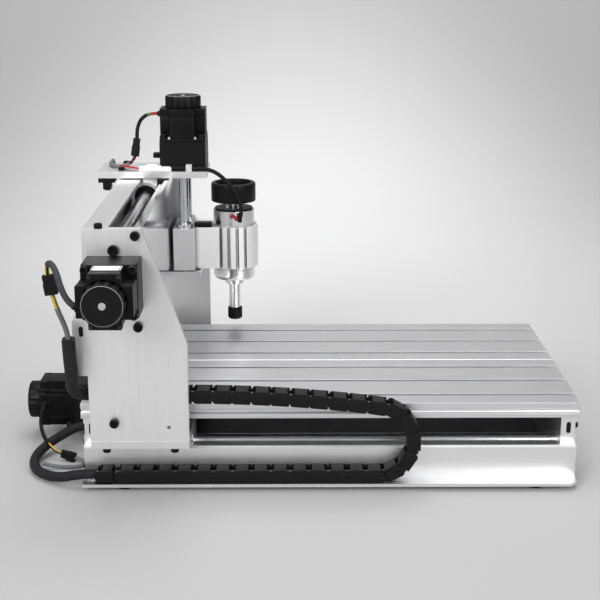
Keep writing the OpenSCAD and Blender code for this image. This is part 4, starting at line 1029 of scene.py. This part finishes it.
def slot_screws_and_shade():
    """Nuts in the brace's grooves, and dark sleeves of painted shade in the channels of the brace and the
    end plates.
    """
    low, high = span("rear_brace")
    build = Build(OXIDE)
    for sx in (-1, 1):
        for z in (low.z + 18, low.z + 38):
            cap_screw(build, (sx * (high.x - 6), high.y - 1.2, z), Y, 7, 2.2)
    build.done("brace_screws", "gantry", "black_oxide")
    # painted shade inside the brace's channels
    build = Build(HOLLOW_SHADE)
    for sx in (-1, 1):
        channel_shade_liner(build, sx * high.x, low.y + 4.9, high.z - 12, 2.1, 5.3)
    build.done("brace_channel_shade", "gantry")
    low, high = span("front_plate")
    # painted shade inside the end plates' channels
    build = Build(HOLLOW_SHADE)
    for sx in (-1, 1):
        for sy in (-1, 1):
            channel_shade_liner(build, sx * high.x, sy * (low.y + high.y) / 2, high.z - 14, 2.3, 6.3)
    build.done("plate_channel_shade", "base")


# Finish and edge round, in millimetres, of the nodes that keep their own shape
PLAIN_NODES = {
    "left_beam": (FRAME_Y, 0.35),
    "right_beam": (FRAME_Y, 0.35),
    "front_plate": (FRAME_X, 0.3),
    "rear_plate": (FRAME_X, 0.3),
    "table_planks": (BED, 0.25),
    "base_pan": (SHEET, 0.0),
    "feet": (RUBBER, 0.4),
    "y_shafts": (SHAFT_Y, 0.0),
    "y_screw_bearings": (GROUND, 0.3),
    "left_side_plate": (FRAME_Z, 0.4),
    "right_side_plate": (FRAME_Z, 0.4),
    "gantry_floor": (FRAME_X, 0.35),
    "y_bearing_blocks": (FRAME_Y, 0.5),
    "y_nut_block": (BRASS, 0.5),
    "beam_back": (FRAME_X, 0.25),
    "beam_front": (FACE, 0.25),
    "rear_brace": (FRAME_X, 0.25),
    "x_shafts": (SHAFT_X, 0.0),
    "x_screw_bearings": (GROUND, 0.3),
    "x_block": (FRAME_X, 0.4),
    "x_bushes": (OXIDE, 0.3),
    "z_top_plate": (FRAME_Y, 0.4),
    "z_bottom_plate": (FRAME_Y, 0.4),
    "z_shafts": (GROUND, 0.0),
    "z_block": (FRAME_Z, 0.4),
    "z_bushes": (GROUND, 0.5),
    "spindle_clamp": (CLAMP, 0.35),
    "spindle_shaft": (POLISH, 0.15),
    "collet_nut": (OXIDE, 0.3),
}


def structure():
    for node, (material, bevel) in PLAIN_NODES.items():
        dress(node, material, bevel)
    fasteners()
    slot_screws_and_shade()


# ---------- Spindle ----------

def spindle():
    low, high = span("spindle_body")
    axis = middle("spindle_body")
    place = Matrix.Translation((axis.x, axis.y, 0))
    r = (high.x - low.x) / 2
    base, top = low.z + 6.5, high.z
    build = Build(POLISH)
    build.lathe([
        (7.4, low.z), (12, low.z), (12.5, low.z + 0.5), (12.5, base - 0.4), (13.4, base), (r - 5, base),
        (r - 3.1, base + 0.5), (r - 1.5, base + 1.6), (r - 0.5, base + 3.1), (r - 0.05, base + 5),
        (r, base + 7), (r, base + 14), (r - 0.35, base + 14.4), (r - 0.35, base + 15), (r, base + 15.4),
        (r, top - 20.4), (r - 0.3, top - 20), (r - 0.3, top - 19.4), (r, top - 19), (r, top - 2.6),
        (r - 0.4, top - 2.2), (r - 1.6, top - 2.2), (7.4, top - 2.2),
    ], place, 96, loop=True)
    for k in range(4):
        w = math.pi / 4 + k * math.pi / 2
        build.lathe([(2.2, -0.5), (2.2, 0.9), (1.8, 1.2), (0.3, 1.0)],
                    place @ Matrix.Translation((19 * math.cos(w), 19 * math.sin(w), top - 2.2)), 20)
    build.use(KNOB)
    build.lathe([(7, top - 2.4), (r - 2, top - 2.4), (r - 1.8, top - 0.6), (r - 2.4, top), (7, top)], place,
                72, loop=True)
    build.done("spindle_can", "z_slider", "spindle_polish", ["spindle_body"])

    low, high = span("spindle_cap")
    r = (high.x - low.x) / 2
    bottom, top = high.z - 23.8, high.z
    build = Build(KNOB)
    build.lathe([
        (r - 1.2, bottom), (r - 0.3, bottom + 0.4), (r, bottom + 1.6), (r, top - 3), (r - 0.4, top - 1.2),
        (r - 1.6, top - 0.2), (r - 3, top), (r - 5.2, top - 0.3), (r - 6, top - 1.4), (r - 6.2, top - 4),
        (r - 6.4, bottom + 4), (r - 6.4, bottom + 3), (8.2, bottom + 3), (8, bottom + 2.6),
        (8, bottom + 0.3), (8.4, bottom),
    ], place, 96, loop=True)
    for k in range(5):
        turn = place @ Matrix.Rotation(2 * math.pi * k / 5 + 0.3, 4, "Z")
        build.box((7, -1.3, bottom + 2.6), (r - 5.8, 1.3, bottom + 4.6), 0.4, turn)
    build.use(GROUND)
    for sx in (-1, 1):
        post = place @ Matrix.Translation((sx * 12, 0, 0))
        build.lathe([(3.2, high.z - 32.6), (3.2, high.z - 30.4), (2.4, high.z - 30), (2.4, bottom + 0.6)],
                    post, 28)
    for sy in (-1, 1):
        tab = place @ Matrix.Translation((-15, sy * 7, bottom - 8.2))
        build.box((-2.6, -1.4, 0), (2.6, 1.4, 5.4), 0.4, tab)
    build.use(SCREW)
    build.lathe([(3.6, top - 9), (3.6, top - 6.4), (3, top - 6)], place, 6)
    build.done("fan_shroud", "z_slider", "knob_plastic", ["spindle_cap"])

    # the insulated terminals that the lead plugs on
    near = middle("spindle_body").x - 26
    y = axis.y
    build = Build(BOOT)
    for dy, dz in ((0.8, 243.4), (-4.6, 240.4)):
        build.lathe([(2.9, -2), (3.2, 0), (3.2, 2.4), (2.6, 3.6), (1.4, 4.2)],
                    frame_along((near + 1.4, y + dy, dz), -X), 24)
    build.use(JACKET)
    build.box((near - 4.2, y - 11.4, 235.5), (near + 1.6, y - 6.2, 246), 1.6)
    build.done("spindle_terminals", "z_slider", "loom_black")


def carriage_details():
    # white connector on the near edge of the top plate
    low, high = span("wire_joint")
    build = Build(WHITE)
    length = high.y - low.y
    build.box((low.x + 0.6, low.y, low.z), (high.x - 0.6, low.y + 0.5 * length, low.z + 5.2), 1.2)
    build.box((low.x, low.y + 0.3 * length, low.z), (high.x, low.y + 0.86 * length, low.z + 7), 1.3)
    build.box((low.x + 0.4, low.y + 0.8 * length, low.z), (high.x - 0.4, high.y, low.z + 6.4), 1.2)
    build.box((low.x + 1.2, low.y + 0.42 * length, low.z + 6.2),
              (high.x - 1.2, low.y + 0.74 * length, high.z), 0.8)
    build.box((low.x - 0.2, low.y + 0.24 * length, low.z + 0.2),
              (low.x + 1.6, low.y + 0.45 * length, low.z + 3.6), 0.8)
    for k in range(3):
        x = low.x + 1.5 + 2 * k
        build.box((x - 0.3, low.y + 2, low.z + 5), (x + 0.3, low.y + 0.28 * length, low.z + 5.7), 0.15)
    build.done("white_connector", "x_carriage", "white_plastic", ["wire_joint"])
    build = Build(RED)
    x = (low.x + high.x) / 2
    for k, material in enumerate((RED, BOOT, RED)):
        start = Vector((x - 1.8 + 1.8 * k, high.y - 1, low.z + 3))
        route = [start, start + Vector((0.4, 5, 1.2)), start + Vector((4, 10, 1.6)),
                 Vector((118 + 2 * k, 247, 304.6)), Vector((127 + k, 254, 304.4 + k * 0.4))]
        build.use(material).tube(smooth_path(route, 2), 0.8, 8)
    build.done("connector_wires", "x_carriage", "cable_grey")
    # clip that holds the spindle's lead down
    build = Build(CLIP)
    x, y, z = SPINDLE_LEAD[2][0], 168, low.z
    build.box((x - 3.2, y - 4, z), (x + 9, y + 4, z + 1.2), 0.4)
    build.box((x - 3.2, y - 3.6, z + 0.6), (x - 2.0, y + 3.6, z + 7.4), 0.4)
    build.box((x + 3.4, y - 3.6, z + 0.6), (x + 4.8, y + 3.6, z + 7.4), 0.4)
    build.box((x - 3.2, y - 3.6, z + 7.0), (x + 4.8, y + 3.6, z + 8.4), 0.5)
    build.done("lead_clip", "x_carriage", "white_plastic")
    # limit switch under the rear of the top plate
    low, high = span("limit_switch")
    build = Build(CHAIN)
    build.box((low.x, low.y, high.z - 6), (high.x, high.y, high.z), 0.5)
    build.box((low.x + 3, low.y + 5, low.z), (low.x + 16, high.y - 5, high.z - 5.8), 0.6)
    build.use(RED).box((low.x + 15.6, low.y + 8, low.z + 2), (low.x + 17.4, high.y - 8, low.z + 6), 0.4)
    build.use(GROUND)
    build.box((low.x + 3, low.y + 6.4, low.z - 1.2), (low.x + 15.5, high.y - 6.4, low.z - 0.8), 0.1)
    for x in (low.x + 5.5, low.x + 13.5):
        build.lathe([(1.6, -0.3), (1.6, 0.3), (1.2, 0.5), (0.2, 0.3)],
                    frame_along((x, low.y + 5, low.z + 3), -Y), 20)
    build.done("end_stop", "x_carriage", "chain_plastic", ["limit_switch"])
    # screws that hold the block, the top plate and the ledge together
    low, high = span("z_top_plate")
    back = span("left_side_plate")[1].y
    build = Build(OXIDE)
    for x in (low.x + 12, high.x - 12):
        cap_screw(build, (x, back - 1.5, high.z), Z, 8, 4)
    build.done("top_plate_screws", "x_carriage", "black_oxide")
    # stop screw and pad on top of the slider, beside its shaft
    low, high = span("z_block")
    build = Build(OXIDE)
    build.lathe([(2.6, -0.5), (2.6, 2.2), (2.2, 2.6), (1.3, 2.8), (1.3, 7.6), (1.0, 8.0)],
                Matrix.Translation((low.x + 8, low.y + 5.5, high.z)), 6)
    build.done("stop_screw", "z_slider", "black_oxide")
    build = Build(KNOB)
    build.box((low.x + 11, low.y - 21, high.z - 0.2), (low.x + 25, low.y + 1, high.z + 5.5), 1.4)
    build.done("clamp_pad", "z_slider", "knob_plastic")


# ---------- Studio ----------
# Metres: where the paper is palest, in a painted pool of light, and how far that reaches, and the shape of
# its sweep

PAINTED_GLOW_X = 1.5
PAINTED_GLOW_REACH = (2.0, 1.05, 1.9)
FLOOR_REACH = 9.0
SWEEP_X = 1.3
SWEEP_R = 2.9
WALL_TOP = 7.0

def backdrop_painted_glow():
    """Matt paper with a painted pool of light: palest behind the machine and darker away from it."""
    material = finish("backdrop_painted_glow", (0.6, 0.6, 0.6), 0.0, 0.8, (30,) * 3, shade=0.01, depth=0.01,
                      marks=0.0, specular=0.1)
    tree = Tree(material.node_tree)
    shader = material.node_tree.nodes["Principled BSDF"]
    place = tree.add("ShaderNodeTexCoord").outputs["Object"]
    scaled = tree.add("ShaderNodeMapping", {
        "Vector": place, "Location": (-PAINTED_GLOW_X / PAINTED_GLOW_REACH[0], 0, 0),
        "Scale": tuple(1 / reach for reach in PAINTED_GLOW_REACH),
    })
    away = tree.add("ShaderNodeVectorMath", {0: scaled.outputs[0]}, operation="LENGTH").outputs["Value"]
    share = tree.add("ShaderNodeMapRange", {"Value": away}, interpolation_type="SMOOTHSTEP")
    # pale near the middle, darker away from it: painted light
    tone = tree.blend(share.outputs["Result"], (0.78, 0.78, 0.782, 1), (0.43, 0.43, 0.432, 1))
    material.node_tree.links.new(tone, shader.inputs["Base Color"])
    return material



def studio():
    """A pale floor that sweeps up into a wall behind the machine, with a painted pool of light on it, and
    soft lights.
    """
    scene = bpy.context.scene
    scene.view_settings.view_transform = "Standard"
    profile = [(-FLOOR_REACH, 0.0), (SWEEP_X, 0.0)]
    arc = [math.pi / 2 * k / 40 for k in range(1, 41)]
    profile += [(SWEEP_X + SWEEP_R * math.sin(w), SWEEP_R - SWEEP_R * math.cos(w)) for w in arc]
    profile += [(SWEEP_X + SWEEP_R, WALL_TOP)]
    mesh = bpy.data.meshes.new("backdrop")
    bm = bmesh.new()
    rows = [[bm.verts.new((x, y, z - 0.0002)) for y in (-FLOOR_REACH, FLOOR_REACH)] for x, z in profile]
    for a, b in zip(rows, rows[1:]):
        bm.faces.new((a[0], b[0], b[1], a[1])).smooth = True
    bm.to_mesh(mesh)
    bm.free()
    backdrop = bpy.data.objects.new("backdrop", mesh)
    scene.collection.objects.link(backdrop)
    mesh.materials.append(backdrop_painted_glow())

    world = bpy.data.worlds.new("studio")
    scene.world = world
    world.use_nodes = True
    tree = Tree(world.node_tree)
    place = tree.add("ShaderNodeTexCoord").outputs["Generated"]
    height = tree.add("ShaderNodeSeparateXYZ", {0: place}).outputs["Z"]
    share = tree.add("ShaderNodeMapRange", {"Value": height, "From Min": -0.15, "From Max": 0.6})
    colour = tree.blend(share.outputs["Result"], (0.5, 0.5, 0.505, 1), (1.0, 1.0, 1.0, 1))
    background = world.node_tree.nodes["Background"]
    world.node_tree.links.new(colour, background.inputs["Color"])
    background.inputs["Strength"].default_value = 0.47

    def light(name, place, target, size, energy):
        data = bpy.data.lights.new(name, "AREA")
        data.shape = "RECTANGLE"
        data.size, data.size_y = size
        data.energy = energy
        lamp = bpy.data.objects.new(name, data)
        scene.collection.objects.link(lamp)
        lamp.location = place
        lamp.rotation_mode = "QUATERNION"
        lamp.rotation_quaternion = (Vector(target) - Vector(place)).to_track_quat("-Z", "Y")

    light("overhead", (0.35, 0.0, 2.15), (0.1, 0, 0), (1.7, 1.7), 30)
    light("near_left", (-1.9, 1.2, 1.35), (0, 0, 0.2), (1.2, 1.2), 35)
    light("near_right", (-1.9, -1.3, 1.2), (0, 0, 0.15), (1.2, 1.2), 26)
    light("wall", (2.2, 0.0, 2.7), (4.2, 0, 0.4), (2.6, 1.2), 40)


make_camera()
z_motor_cord()
spindle_cord()
x_motor_cord()
loom("gantry_wrap", "gantry", "gantry_loom", GANTRY_LOOM, GANTRY_LOOM_R)
loom("base_wrap", "base", "base_loom", BASE_LOOM, BASE_LOOM_R)
y_motor_cord()
cable_chain()
chain_brackets()
drives()
lead_screws()
structure()
spindle()
carriage_details()
studio()
